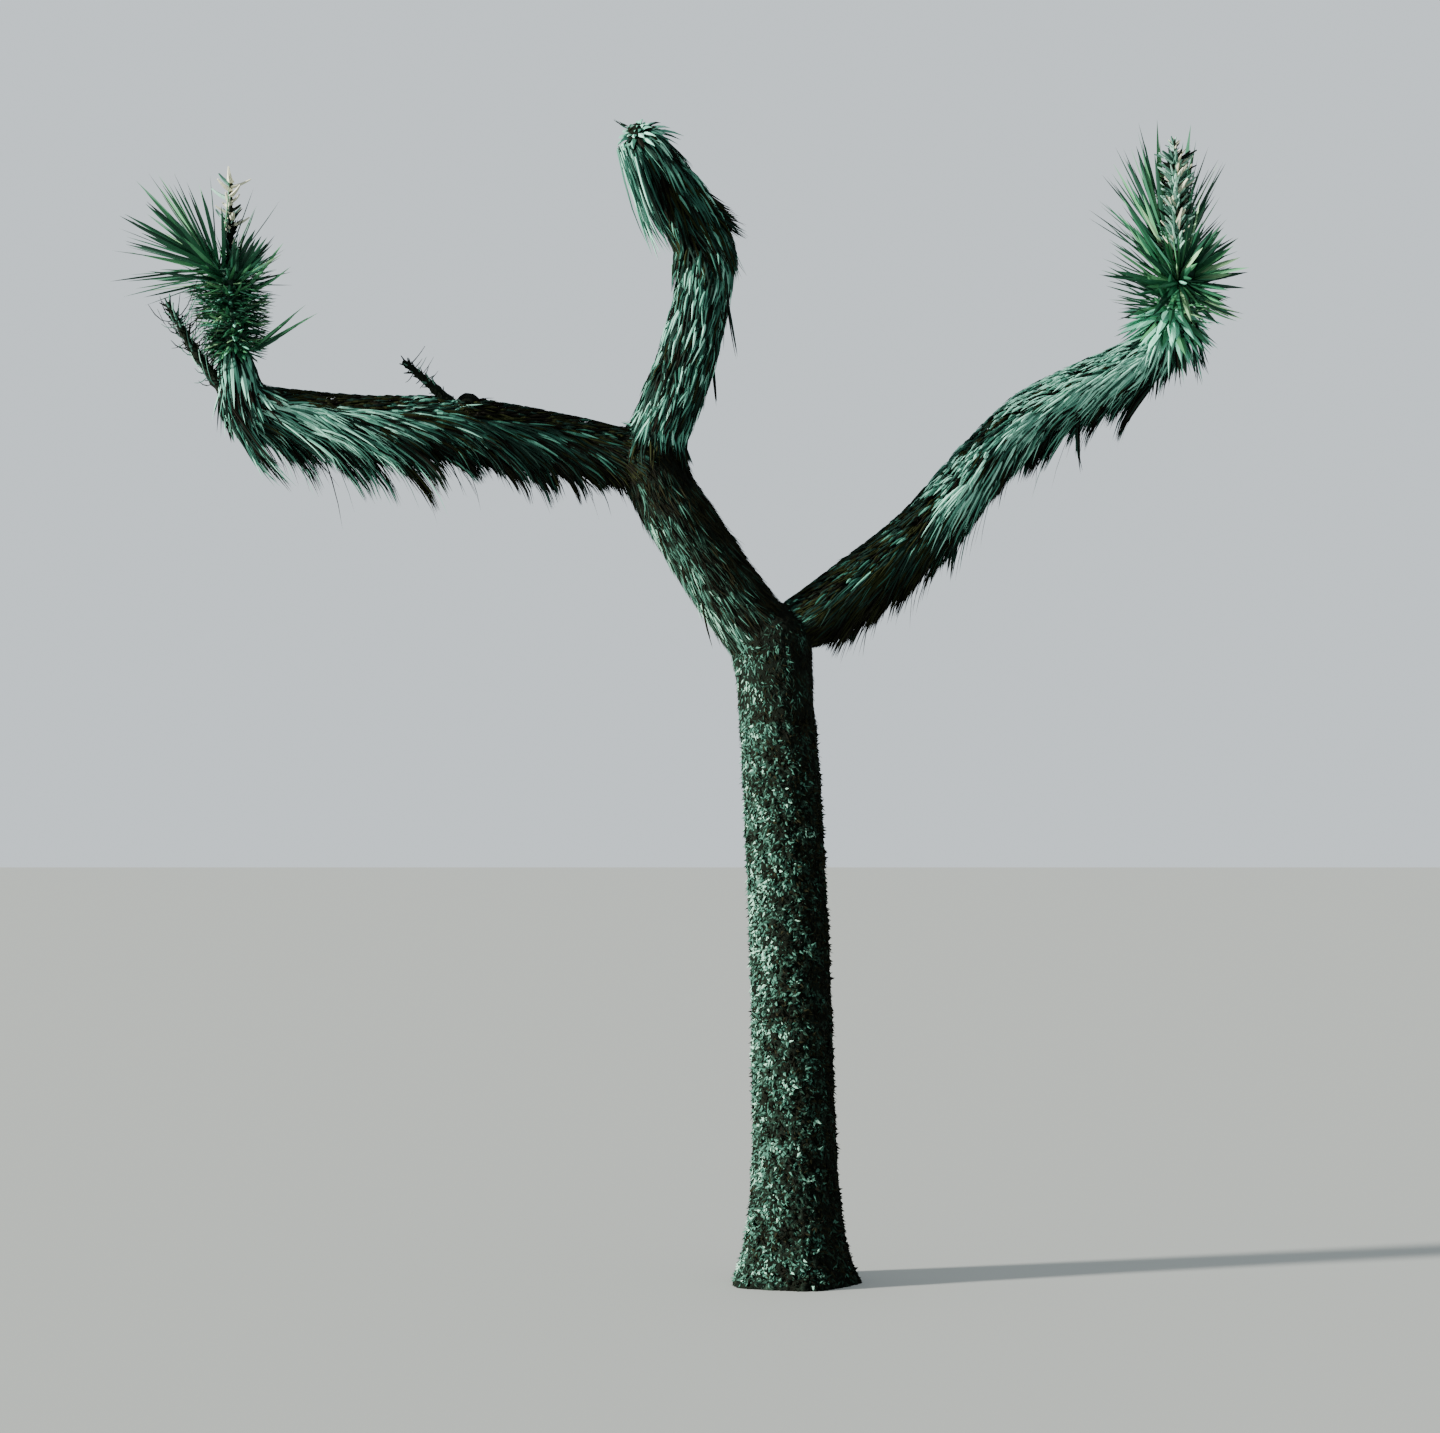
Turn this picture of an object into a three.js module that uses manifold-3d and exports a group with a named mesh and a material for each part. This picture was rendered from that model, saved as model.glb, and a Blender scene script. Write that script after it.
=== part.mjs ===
// A young Joshua tree (Yucca brevifolia): a plain trunk that forks twice into three thick arms.
// The arms are thatched with dead leaves that lie back along them. Two arms end in living crowns
// of spiky leaves, and the middle one ends in a dead head. Old flower stalks stand in the crowns.
// Units are millimetres and +Z is up. The origin is the centre of the level cut under the trunk.
// Seen along +Y, +X is to the right. Negative Y comes towards the viewer.
import * as THREE from 'three';
import { mergeVertices } from 'three/addons/utils/BufferGeometryUtils.js';
import Module from 'manifold-3d';

const wasm = await Module();
wasm.setup();
const { Manifold, Mesh } = wasm;

// Places where limbs start, bend or end
const BELOW_GROUND = [0, 0, -40];
const FORK = [-60, 20, 1700];
const KNUCKLE = [-384, -60, 2180];
const ELBOW = [-1422, -341, 2296];
const LEFT_CROWN_FOOT = [-1440, -352, 2436];
const LEFT_CROWN_FORK = [-1456, -352, 2622];
const KINK = [-231, 26, 2735];
const DEAD_TIP = [-412, -72, 3028];
const SHALLOW_BEND = [538, 217, 2214];
const WRIST = [986, 377, 2488];
const RIGHT_CROWN_FOOT = [1034, 393, 2596];
const RIGHT_CROWN_TOP = [1036, 394, 2850];

// Driving sizes of the wood
const TRUNK_FOOT_RADIUS = 108;
const TRUNK_TOP_RADIUS = 97;
const ROOT_FLARE = 62;
const FLARE_HEIGHT = 120;
const FLARE_LOBES = 5;
const LOBE_DEPTH = 0.16;
const SHOULDER = 9;
const SHOULDER_REACH = 120;
const LOWER_LIMB_RADIUS = 86;
const ARM_CORE_RADIUS = 46;
const NECK_RADIUS = 38;

// Driving sizes of the leaves
const LEAF_LENGTH = 250;
const LEAF_WIDTH = 26;
const DEAD_LEAF_LENGTH = 210;
const DEAD_LEAF_WIDTH = 19;
const LEAF_THICKNESS = 5;
const LEAF_SUNK = 16;
const LEAST_LIFT = 0.18;
const BARE_SHARE = 0.85;
const OPEN_SPREAD = 7;

// Clearance between nodes, the size of face that is cleaned away, and the spiral that leaves keep
const GAP = 0.4;
const SLIVER = 0.03;
const GOLDEN_ANGLE = Math.PI * (3 - Math.sqrt(5));
const UP = new THREE.Vector3(0, 0, 1);

// Colours as the evening light and the film show them
const BARK = new THREE.MeshStandardMaterial({ color: 0x39443b, roughness: 0.95, metalness: 0 });
const THATCH = new THREE.MeshStandardMaterial({ color: 0x5f7d76, roughness: 0.85, metalness: 0 });
const LEAF = new THREE.MeshStandardMaterial({ color: 0x2f6a52, roughness: 0.6, metalness: 0 });
const STALK = new THREE.MeshStandardMaterial({ color: 0x56604f, roughness: 0.9, metalness: 0 });

const vector = (place) => new THREE.Vector3(...place);
const mix = (a, b, share) => a + (b - a) * share;
const uneven = (random, spread) => 1 + spread * (2 * random() - 1);

// Repeatable random numbers from 0 to 1
function seeded(seed) {
  let state = seed;
  return () => {
    state = (state + 0x6d2b79f5) | 0;
    let t = Math.imul(state ^ (state >>> 15), 1 | state);
    t = (t + Math.imul(t ^ (t >>> 7), 61 | t)) ^ t;
    return ((t ^ (t >>> 14)) >>> 0) / 4294967296;
  };
}

// A closed geometry as a solid that can be joined and cut, with its faces turned outwards
function solidOf(geometry) {
  const bare = geometry.clone();
  bare.deleteAttribute('normal');
  bare.deleteAttribute('uv');
  const merged = mergeVertices(bare, 1e-3);
  const corners = [];
  const index = merged.index.array;
  for (let i = 0; i < index.length; i += 3) {
    const [a, b, c] = [index[i], index[i + 1], index[i + 2]];
    if (a !== b && b !== c && a !== c) corners.push(a, b, c);
  }
  const asSolid = (triVerts) => new Manifold(new Mesh({
    numProp: 3,
    vertProperties: merged.attributes.position.array,
    triVerts: new Uint32Array(triVerts),
  }));
  const solid = asSolid(corners);
  return solid.volume() < 0 ? asSolid([...corners].reverse()) : solid;
}

// The body that matters, without the loose scraps that a cut can leave
function largestBody(solid) {
  return solid.decompose().reduce((best, next) => (next.volume() > best.volume() ? next : best));
}

// A line through space with a square frame at each point of it
class Spine {
  constructor(places) {
    this.curve = new THREE.CatmullRomCurve3(places.map(vector), false, 'centripetal');
    this.length = this.curve.getLength();
  }

  // Where the spine is at share t of its length, and its directions there
  at(t) {
    const share = THREE.MathUtils.clamp(t, 0, 1);
    const along = this.curve.getTangentAt(share);
    const side = new THREE.Vector3(0, 1, 0);
    side.addScaledVector(along, -side.dot(along)).normalize();
    const across = new THREE.Vector3().crossVectors(along, side);
    return { centre: this.curve.getPointAt(share), along, side, across };
  }

  // The direction away from the spine at share t and angle turn
  outward(t, turn) {
    const { side, across } = this.at(t);
    return side.multiplyScalar(Math.cos(turn)).addScaledVector(across, Math.sin(turn));
  }
}

// A round solid along a spine: a lathed profile whose rings are then set out along the spine.
// radiusAt(t, outward) gives its size. Each end is flat or a dome, and grow makes it larger all over.
function limbSolid(spine, radiusAt, options = {}) {
  const { sides = 10, steps = 10, from = 0, to = 1, domeTip = false, grow = 0 } = options;
  const domeAngles = [32, 62, 90].map(THREE.MathUtils.degToRad);
  const rings = [{ t: from, share: 0, past: -grow }];
  for (let i = 0; i <= steps; i++) {
    const past = i === 0 ? -grow : i === steps && !domeTip ? grow : 0;
    rings.push({ t: mix(from, to, i / steps), share: 1, past });
  }
  const tip = { t: to, share: 0, past: grow };
  const dome = domeAngles.map((angle) => ({ t: to, share: Math.cos(angle), dome: Math.sin(angle) }));
  rings.push(...(domeTip ? dome : [tip]));
  const profile = rings.map((ring, i) => new THREE.Vector2(ring.share < 1e-6 ? 0 : 1, i));
  const geometry = new THREE.LatheGeometry(profile, sides);
  const position = geometry.attributes.position;
  for (let i = 0; i < position.count; i++) {
    const { t, share, past = 0, dome: rise = 0 } = rings[Math.round(position.getY(i))];
    const outward = spine.outward(t, Math.atan2(position.getX(i), position.getZ(i)));
    const { centre, along } = spine.at(t);
    const radius = radiusAt(t, outward) + grow;
    centre.addScaledVector(along, rise * radius + past).addScaledVector(outward, radius * share);
    position.setXYZ(i, centre.x, centre.y, centre.z);
  }
  return solidOf(geometry);
}

// A leaf: a dagger of three long faces, keeled underneath, from its widest place at the root to its
// tip. The root is sunk, and the leaf's flat side looks along facing.
function leafSolid(root, heading, facing, { length, width, sunk = LEAF_SUNK }) {
  const geometry = new THREE.ConeGeometry(1, 1, 3);
  const across = new THREE.Vector3().crossVectors(heading, facing).normalize();
  const flat = new THREE.Vector3().crossVectors(across, heading).normalize();
  const thickness = Math.max(LEAF_THICKNESS, width / 4);
  const position = geometry.attributes.position;
  for (let i = 0; i < position.count; i++) {
    const point = root.clone().addScaledVector(heading, position.getY(i) > 0 ? length : -sunk);
    point.addScaledVector(across, (position.getX(i) * width) / Math.sqrt(3));
    point.addScaledVector(flat, (-position.getZ(i) * thickness) / 1.5);
    position.setXYZ(i, point.x, point.y, point.z);
  }
  return solidOf(geometry);
}

// The nodes made so far, by name
const nodes = new Map();

function addNode(name, solid, material) {
  nodes.set(name, { solid: largestBody(solid).simplify(SLIVER), material });
}

// Trunk and boughs

const trunkSpine = new Spine([
  BELOW_GROUND,
  [2, 1, 260],
  [-6, 6, 700],
  [-22, 11, 1130],
  [-44, 16, 1500],
  FORK,
]);

function trunkRadius(t, outward) {
  const height = t * trunkSpine.length + BELOW_GROUND[2];
  const toFork = (1 - t) * trunkSpine.length;
  const flare = ROOT_FLARE * Math.exp(-Math.max(0, height) / FLARE_HEIGHT);
  const lobes = 1 + LOBE_DEPTH * Math.cos(FLARE_LOBES * Math.atan2(outward.y, outward.x));
  const shoulder = SHOULDER * Math.exp(-((toFork / SHOULDER_REACH) ** 2));
  return mix(TRUNK_FOOT_RADIUS, TRUNK_TOP_RADIUS, t) + flare * lobes + shoulder;
}

// The trunk starts a little below the ground and is cut off level there
function makeTrunk(grow = 0) {
  const whole = limbSolid(trunkSpine, trunkRadius, { sides: 16, steps: 17, domeTip: true, grow });
  const soil = new THREE.BoxGeometry(1000, 1000, 200).translate(0, 0, -100);
  return whole.subtract(solidOf(soil));
}

// Each bough's line, and its radius at foot and tip
const BOUGHS = {
  lower_limb: {
    spine: new Spine([[-62, 18, 1690], [-140, 10, 1782], [-262, -20, 1962], [-340, -46, 2086], KNUCKLE]),
    radii: [92, LOWER_LIMB_RADIUS],
    sides: 12,
    steps: 8,
  },
  left_arm: {
    spine: new Spine([KNUCKLE, [-560, -92, 2216], [-873, -190, 2262], [-1150, -272, 2268], ELBOW]),
    radii: [62, ARM_CORE_RADIUS],
    steps: 8,
  },
  left_neck: {
    spine: new Spine([ELBOW, [-1434, -350, 2380], LEFT_CROWN_FOOT]),
    radii: [NECK_RADIUS + 4, NECK_RADIUS - 4],
    steps: 3,
    flatTip: true,
  },
  middle_arm_lower: {
    spine: new Spine([KNUCKLE, [-340, -56, 2290], [-282, -34, 2450], [-242, 2, 2620], KINK]),
    radii: [66, ARM_CORE_RADIUS + 6],
    steps: 6,
  },
  middle_arm_upper: {
    spine: new Spine([KINK, [-288, -2, 2850], [-358, -42, 2952], DEAD_TIP]),
    radii: [ARM_CORE_RADIUS + 6, ARM_CORE_RADIUS - 8],
    steps: 5,
  },
  right_arm_lower: {
    spine: new Spine([[-20, 22, 1720], [92, 46, 1799], [322, 132, 1974], SHALLOW_BEND]),
    radii: [70, ARM_CORE_RADIUS + 6],
    steps: 6,
  },
  right_arm_upper: {
    spine: new Spine([SHALLOW_BEND, [648, 255, 2318], [850, 331, 2424], WRIST]),
    radii: [ARM_CORE_RADIUS + 6, ARM_CORE_RADIUS],
    steps: 5,
  },
  right_neck: {
    spine: new Spine([WRIST, [1022, 388, 2540], RIGHT_CROWN_FOOT]),
    radii: [NECK_RADIUS + 6, NECK_RADIUS],
    steps: 3,
    flatTip: true,
  },
};

function makeBough({ spine, radii, sides = 8, steps, flatTip = false }, grow = 0) {
  return limbSolid(spine, (t) => mix(radii[0], radii[1], t), { sides, steps, domeTip: !flatTip, grow });
}

// The trunk, then each bough cut clear of what it grows from
const grownLimbs = [makeTrunk(GAP)];
addNode('trunk', makeTrunk(), BARK);
for (const [name, bough] of Object.entries(BOUGHS)) {
  addNode(name, makeBough(bough).subtract(Manifold.union(grownLimbs)), BARK);
  grownLimbs.push(makeBough(bough, GAP));
}
const allLimbs = Manifold.union(grownLimbs);

// Old flower stalks and stubs: thin tapered limbs with short curled stems on them
const STALKS = {
  left_side_stalk: {
    spine: new Spine([[-1446, -350, 2306], [-1536, -374, 2430], [-1606, -388, 2552]]),
    radii: [34, 10],
    twigs: { count: 20, from: 0.25, length: 74, width: 10, rise: 0.2 },
    seed: 11,
  },
  left_arm_stub: {
    spine: new Spine([[-868, -206, 2288], [-960, -236, 2372], [-1012, -246, 2416]]),
    radii: [18, 9],
    twigs: { count: 8, from: 0.5, length: 48, width: 9, rise: -0.3 },
    seed: 12,
  },
  left_flower_stalk: {
    spine: new Spine([LEFT_CROWN_FORK, [-1450, -366, 2740], [-1446, -372, 2880]]),
    radii: [9, 5],
    twigs: { count: 16, from: 0.35, length: 34, width: 9, rise: 0.7 },
    seed: 13,
  },
  right_flower_stalk: {
    spine: new Spine([RIGHT_CROWN_TOP, [1040, 388, 2960], [1042, 372, 3080]]),
    radii: [11, 6],
    twigs: { count: 18, from: 0.25, length: 36, width: 9, rise: 0.7 },
    seed: 14,
  },
};

function stalkCore({ spine, radii }, grow = 0) {
  return limbSolid(spine, (t) => mix(radii[0], radii[1], t), { sides: 6, steps: 5, domeTip: true, grow });
}

const grownStalks = Object.values(STALKS).map((stalk) => stalkCore(stalk, GAP));
const keptClear = Manifold.union([allLimbs, ...grownStalks]);

// Thatch: the sleeve of packed dead leaves round each stretch of bough, thicker underneath by sag,
// and the leaves that stand out of it. They point back to the bough's foot and hang by droop.
const THATCHES = {
  left_thatch_inner: {
    bough: 'left_arm', from: 0.05, to: 0.5, radii: [66, 72], sag: 20, steps: 5,
    leaves: { count: 46, lay: 0.3, droop: 0.75, bareTop: 0.35, length: 0.66 * DEAD_LEAF_LENGTH },
    seed: 21,
  },
  left_thatch_outer: {
    bough: 'left_arm', from: 0.502, to: 1, radii: [70, 58], sag: 20, steps: 5, domeTip: true,
    leaves: { count: 54, lay: 0.32, droop: 0.8, bareTop: 0.35, length: 0.76 * DEAD_LEAF_LENGTH },
    seed: 22,
  },
  left_neck_thatch: {
    bough: 'left_neck', from: 0.25, to: 0.97, radii: [60, 54], steps: 2,
    leaves: { count: 26, lay: 0.22, droop: 0.3, length: DEAD_LEAF_LENGTH },
    seed: 23,
  },
  middle_thatch_lower: {
    bough: 'middle_arm_lower', from: 0.08, to: 1, radii: [88, 79], steps: 5, domeTip: true,
    leaves: { count: 36, lay: 0.1, droop: 0.1, length: DEAD_LEAF_LENGTH },
    seed: 24,
  },
  middle_thatch_upper: {
    bough: 'middle_arm_upper', from: 0, to: 0.96, radii: [94, 66], sag: 10, steps: 4, domeTip: true,
    leaves: { count: 46, lay: 0.16, droop: 0.3, length: DEAD_LEAF_LENGTH },
    seed: 25,
  },
  right_thatch_lower: {
    bough: 'right_arm_lower', from: 0.06, to: 1, radii: [76, 80], sag: 10, steps: 5, domeTip: true,
    leaves: { count: 50, lay: 0.2, droop: 0.45, bareTop: 0.4, length: 0.62 * DEAD_LEAF_LENGTH },
    seed: 26,
  },
  right_thatch_upper: {
    bough: 'right_arm_upper', from: 0, to: 0.97, radii: [78, 72], sag: 8, steps: 4,
    leaves: { count: 44, lay: 0.2, droop: 0.5, bareTop: 0.35, length: 0.66 * DEAD_LEAF_LENGTH },
    seed: 27,
  },
  right_neck_thatch: {
    bough: 'right_neck', from: 0.3, to: 0.97, radii: [66, 62], steps: 2,
    leaves: { count: 30, lay: 0.8, droop: 0.8, length: 0.76 * DEAD_LEAF_LENGTH },
    seed: 28,
  },
};

function thatchRadius({ from, to, radii, sag = 0 }) {
  return (t, outward) => mix(radii[0], radii[1], (t - from) / (to - from)) + sag * Math.max(0, -outward.z);
}

function thatchSleeve(thatch, grow = 0) {
  const { bough, from, to, steps, domeTip = false } = thatch;
  const options = { sides: 10, steps, from, to, domeTip, grow };
  return limbSolid(BOUGHS[bough].spine, thatchRadius(thatch), options);
}

// Living crowns: each stem carries a close spiral of leaves, the lowest spread by openFoot degrees
// from the stem and the top ones by openTip. Leaves that point the favoured way are longer.
const CROWNS = {
  left_crown: [
    {
      spine: new Spine([[-1440.2, -352, 2437], [-1446, -353, 2540], LEFT_CROWN_FORK]),
      radius: 54, count: 44, openFoot: 88, openTip: 58, shares: [0.32, 0.42], seed: 31,
    },
    {
      spine: new Spine([[-1456, -352, 2612], [-1490, -356, 2656], [-1528, -362, 2694]]),
      radius: 36, count: 42, from: 0.1, openFoot: 66, openTip: 10, shares: [0.76, 0.84], seed: 32,
    },
    {
      spine: new Spine([[-1452, -352, 2612], [-1436, -350, 2650], [-1424, -346, 2684]]),
      radius: 30, count: 26, from: 0.1, openFoot: 62, openTip: 8, shares: [0.36, 0.5], seed: 33,
    },
  ],
  right_crown: [
    {
      spine: new Spine([[1034.1, 393, 2597], [1042, 396, 2700], RIGHT_CROWN_TOP]),
      radius: 50, count: 70, openFoot: 92, openTip: 14, shares: [0.52, 0.84], seed: 34,
      favour: { towards: [-0.87, 0, 0.49], by: 0.12 },
    },
    {
      spine: new Spine([[1048, 398, 2640], [1082, 356, 2662], [1112, 316, 2672]]),
      radius: 38, count: 36, from: 0.3, openFoot: 84, openTip: 16, shares: [0.48, 0.58], seed: 35,
    },
  ],
};

function headCore({ spine, radius }) {
  return limbSolid(spine, (t) => radius * mix(1, 0.8, t), { sides: 8, steps: 3, domeTip: true });
}

// The space that each mass fills: its sleeve or its cores, cut clear of the wood, the stalks and
// the sleeves before it
const spaces = new Map();
const grownSleeves = [keptClear];
for (const [name, thatch] of Object.entries(THATCHES)) {
  spaces.set(name, thatchSleeve(thatch).subtract(Manifold.union(grownSleeves)));
  grownSleeves.push(thatchSleeve(thatch, GAP));
}
const underCrowns = Manifold.union(grownSleeves);
for (const [name, stems] of Object.entries(CROWNS)) {
  spaces.set(name, Manifold.union(stems.map(headCore)).subtract(underCrowns));
}

// Leaves that stay clear of every other mass's space and of every node made so far, apart from
// the bough inside their own mass
function clearLeaves(leaves, ownMass, ownBough) {
  const otherSpaces = [...spaces].filter(([name]) => name !== ownMass).map(([, space]) => space);
  const otherNodes = [...nodes].filter(([name]) => name !== ownBough).map(([, node]) => node.solid);
  const others = [...otherSpaces, ...otherNodes];
  return leaves.filter((leaf) => others.every((other) => leaf.minGap(other, 1) > GAP));
}

function makeStalk(name, stalk) {
  const { spine, twigs, seed } = stalk;
  const random = seeded(seed);
  const stems = [];
  for (let i = 0; i < twigs.count; i++) {
    const t = mix(twigs.from, 0.97, (i + 0.5) / twigs.count);
    const outward = spine.outward(t, i * GOLDEN_ANGLE + random() * 0.5);
    const { centre, along } = spine.at(t);
    const heading = along.clone().multiplyScalar(twigs.rise).add(outward).normalize();
    const length = twigs.length * uneven(random, 0.3);
    stems.push(leafSolid(centre, heading, along, { length, width: twigs.width, sunk: 2 }));
  }
  const core = stalkCore(stalk).subtract(allLimbs);
  addNode(name, Manifold.union([core, ...clearLeaves(stems)]), STALK);
}

// The dead leaves of a thatch, in a spiral round its bough. Those on a bare top are mostly gone.
function deadLeaves(thatch) {
  const { bough, from, to, seed } = thatch;
  const { count, lay, droop, bareTop = 0, length } = thatch.leaves;
  const { spine } = BOUGHS[bough];
  const random = seeded(seed);
  const radiusAt = thatchRadius(thatch);
  const margin = (LEAF_SUNK + 4) / spine.length;
  const leaves = [];
  for (let i = 0; i < count; i++) {
    const t = mix(from + margin, to - margin, (i + 0.5) / count);
    const outward = spine.outward(t, i * GOLDEN_ANGLE + random() * 0.4);
    if (outward.z > 1 - 2 * bareTop && random() < BARE_SHARE) continue;
    const { centre, along } = spine.at(t);
    const hang = droop * Math.max(0, 0.6 - outward.z) * uneven(random, 0.3);
    const angle = lay * uneven(random, 0.35);
    const heading = along.clone().multiplyScalar(-Math.cos(angle));
    heading.addScaledVector(outward, Math.sin(angle)).addScaledVector(UP, -hang).normalize();
    const lift = LEAST_LIFT - heading.dot(outward);
    if (lift > 0) heading.addScaledVector(outward, lift).normalize();
    const root = centre.addScaledVector(outward, radiusAt(t, outward) - LEAF_SUNK / 2);
    const size = { length: length * uneven(random, 0.18), width: DEAD_LEAF_WIDTH };
    leaves.push(leafSolid(root, heading, outward, size));
  }
  return leaves;
}

function makeThatch(name, thatch) {
  const leaves = clearLeaves(deadLeaves(thatch), name, thatch.bough);
  addNode(name, Manifold.union([spaces.get(name), ...leaves]).subtract(keptClear), THATCH);
}

function headLeaves({ spine, radius, count, from = 0, openFoot, openTip, shares, favour, seed }) {
  const random = seeded(seed);
  const leaves = [];
  for (let i = 0; i < count; i++) {
    const share = (i + 0.5) / count;
    const t = mix(from, 1, share);
    const outward = spine.outward(t, i * GOLDEN_ANGLE + random() * 0.3);
    const { centre, along } = spine.at(t);
    const spread = mix(openFoot, openTip, share) + mix(-OPEN_SPREAD, OPEN_SPREAD, random());
    const open = THREE.MathUtils.degToRad(spread);
    const heading = along.clone().multiplyScalar(Math.cos(open)).addScaledVector(outward, Math.sin(open));
    let length = LEAF_LENGTH * mix(shares[0], shares[1], share) * uneven(random, 0.14);
    if (favour) length *= 1 + favour.by * heading.dot(vector(favour.towards));
    const root = centre.addScaledVector(outward, radius - LEAF_SUNK / 2);
    leaves.push(leafSolid(root, heading, along, { length, width: LEAF_WIDTH }));
  }
  return leaves;
}

function makeCrown(name, stems) {
  const leaves = clearLeaves(stems.flatMap(headLeaves), name);
  addNode(name, Manifold.union([spaces.get(name), ...leaves]).subtract(underCrowns), LEAF);
}

for (const [name, stalk] of Object.entries(STALKS)) makeStalk(name, stalk);
for (const [name, thatch] of Object.entries(THATCHES)) makeThatch(name, thatch);
for (const [name, stems] of Object.entries(CROWNS)) makeCrown(name, stems);

const group = new THREE.Group();
for (const [name, { solid, material }] of nodes) {
  const { vertProperties, triVerts, numProp } = solid.getMesh();
  const geometry = new THREE.BufferGeometry();
  const places = new THREE.BufferAttribute(new Float32Array(vertProperties), numProp);
  geometry.setAttribute('position', places);
  geometry.setIndex(new THREE.BufferAttribute(new Uint32Array(triVerts), 1));
  geometry.computeVertexNormals();
  const mesh = new THREE.Mesh(geometry, material);
  mesh.name = name;
  group.add(mesh);
}

export default group;
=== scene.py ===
import math

import bmesh
import bpy
import numpy as np
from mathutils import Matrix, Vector, noise


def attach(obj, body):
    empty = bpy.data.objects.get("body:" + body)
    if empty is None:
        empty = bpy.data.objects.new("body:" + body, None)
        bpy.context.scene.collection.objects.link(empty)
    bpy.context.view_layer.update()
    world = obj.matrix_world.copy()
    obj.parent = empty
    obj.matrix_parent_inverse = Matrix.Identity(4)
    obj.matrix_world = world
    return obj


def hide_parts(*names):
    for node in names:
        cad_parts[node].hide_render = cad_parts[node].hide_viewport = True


# A young Joshua tree (Yucca brevifolia). The trunk and boughs are one skin of bark with real relief.
# Dead leaves lie back along the arms, living leaves stand in the crowns, and old stalks stay on.
# The rules that place leaves are those of the part's source, carried to leaves of natural size.

bl_info = {
    "name": "Joshua Tree",
    "version": (1, 0, 0),
    "blender": (4, 5, 0),
    "location": "View3D > Sidebar > Joshua Tree",
    "description": "Grows the bark, dead leaves, crowns and old stalks of a young Joshua tree",
    "category": "Add Mesh",
}

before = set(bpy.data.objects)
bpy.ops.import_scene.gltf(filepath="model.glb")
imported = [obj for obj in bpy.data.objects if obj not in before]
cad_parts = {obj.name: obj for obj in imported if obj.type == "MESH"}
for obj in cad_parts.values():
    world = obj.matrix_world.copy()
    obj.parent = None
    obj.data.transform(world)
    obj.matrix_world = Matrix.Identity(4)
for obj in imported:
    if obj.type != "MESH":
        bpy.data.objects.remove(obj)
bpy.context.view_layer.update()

MM = 0.001
UP = np.array([0.0, 0.0, 1.0])
SIDEWAYS = np.array([0.0, 1.0, 0.0])
GOLDEN_ANGLE = math.pi * (3 - math.sqrt(5))

# Places where limbs start, bend or end, in millimetres
BELOW_GROUND = (0, 0, -40)
FORK = (-60, 20, 1700)
KNUCKLE = (-384, -60, 2180)
ELBOW = (-1422, -341, 2296)
LEFT_CROWN_FOOT = (-1440, -352, 2436)
LEFT_CROWN_FORK = (-1456, -352, 2622)
KINK = (-231, 26, 2735)
DEAD_TIP = (-412, -72, 3028)
SHALLOW_BEND = (538, 217, 2214)
WRIST = (986, 377, 2488)
RIGHT_CROWN_FOOT = (1034, 393, 2596)
RIGHT_CROWN_TOP = (1036, 394, 2850)

# Driving sizes of the wood, in millimetres
TRUNK_FOOT_RADIUS = 108
TRUNK_TOP_RADIUS = 97
ROOT_FLARE = 62
FLARE_HEIGHT = 120
FLARE_LOBES = 5
LOBE_DEPTH = 0.16
SHOULDER = 9
SHOULDER_REACH = 120
LOWER_LIMB_RADIUS = 86
ARM_CORE_RADIUS = 46
NECK_RADIUS = 38


def colour(code):
    """A colour from its hexadecimal code, in the linear values that a shader takes."""
    shares = [int(code[i : i + 2], 16) / 255 for i in (0, 2, 4)]
    linear = [s / 12.92 if s <= 0.04045 else ((s + 0.055) / 1.055) ** 2.4 for s in shares]
    return (*linear, 1.0)


def mix(a, b, share):
    return a + (b - a) * share


def unit(v):
    return v / np.maximum(np.linalg.norm(v, axis=-1, keepdims=True), 1e-12)


def dot(a, b):
    return np.sum(a * b, axis=-1, keepdims=True)


def smooth(share):
    share = np.clip(share, 0, 1)
    return share * share * (3 - 2 * share)


def uneven(rng, count, spread):
    return 1 + spread * (2 * rng.random(count) - 1)


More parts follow.
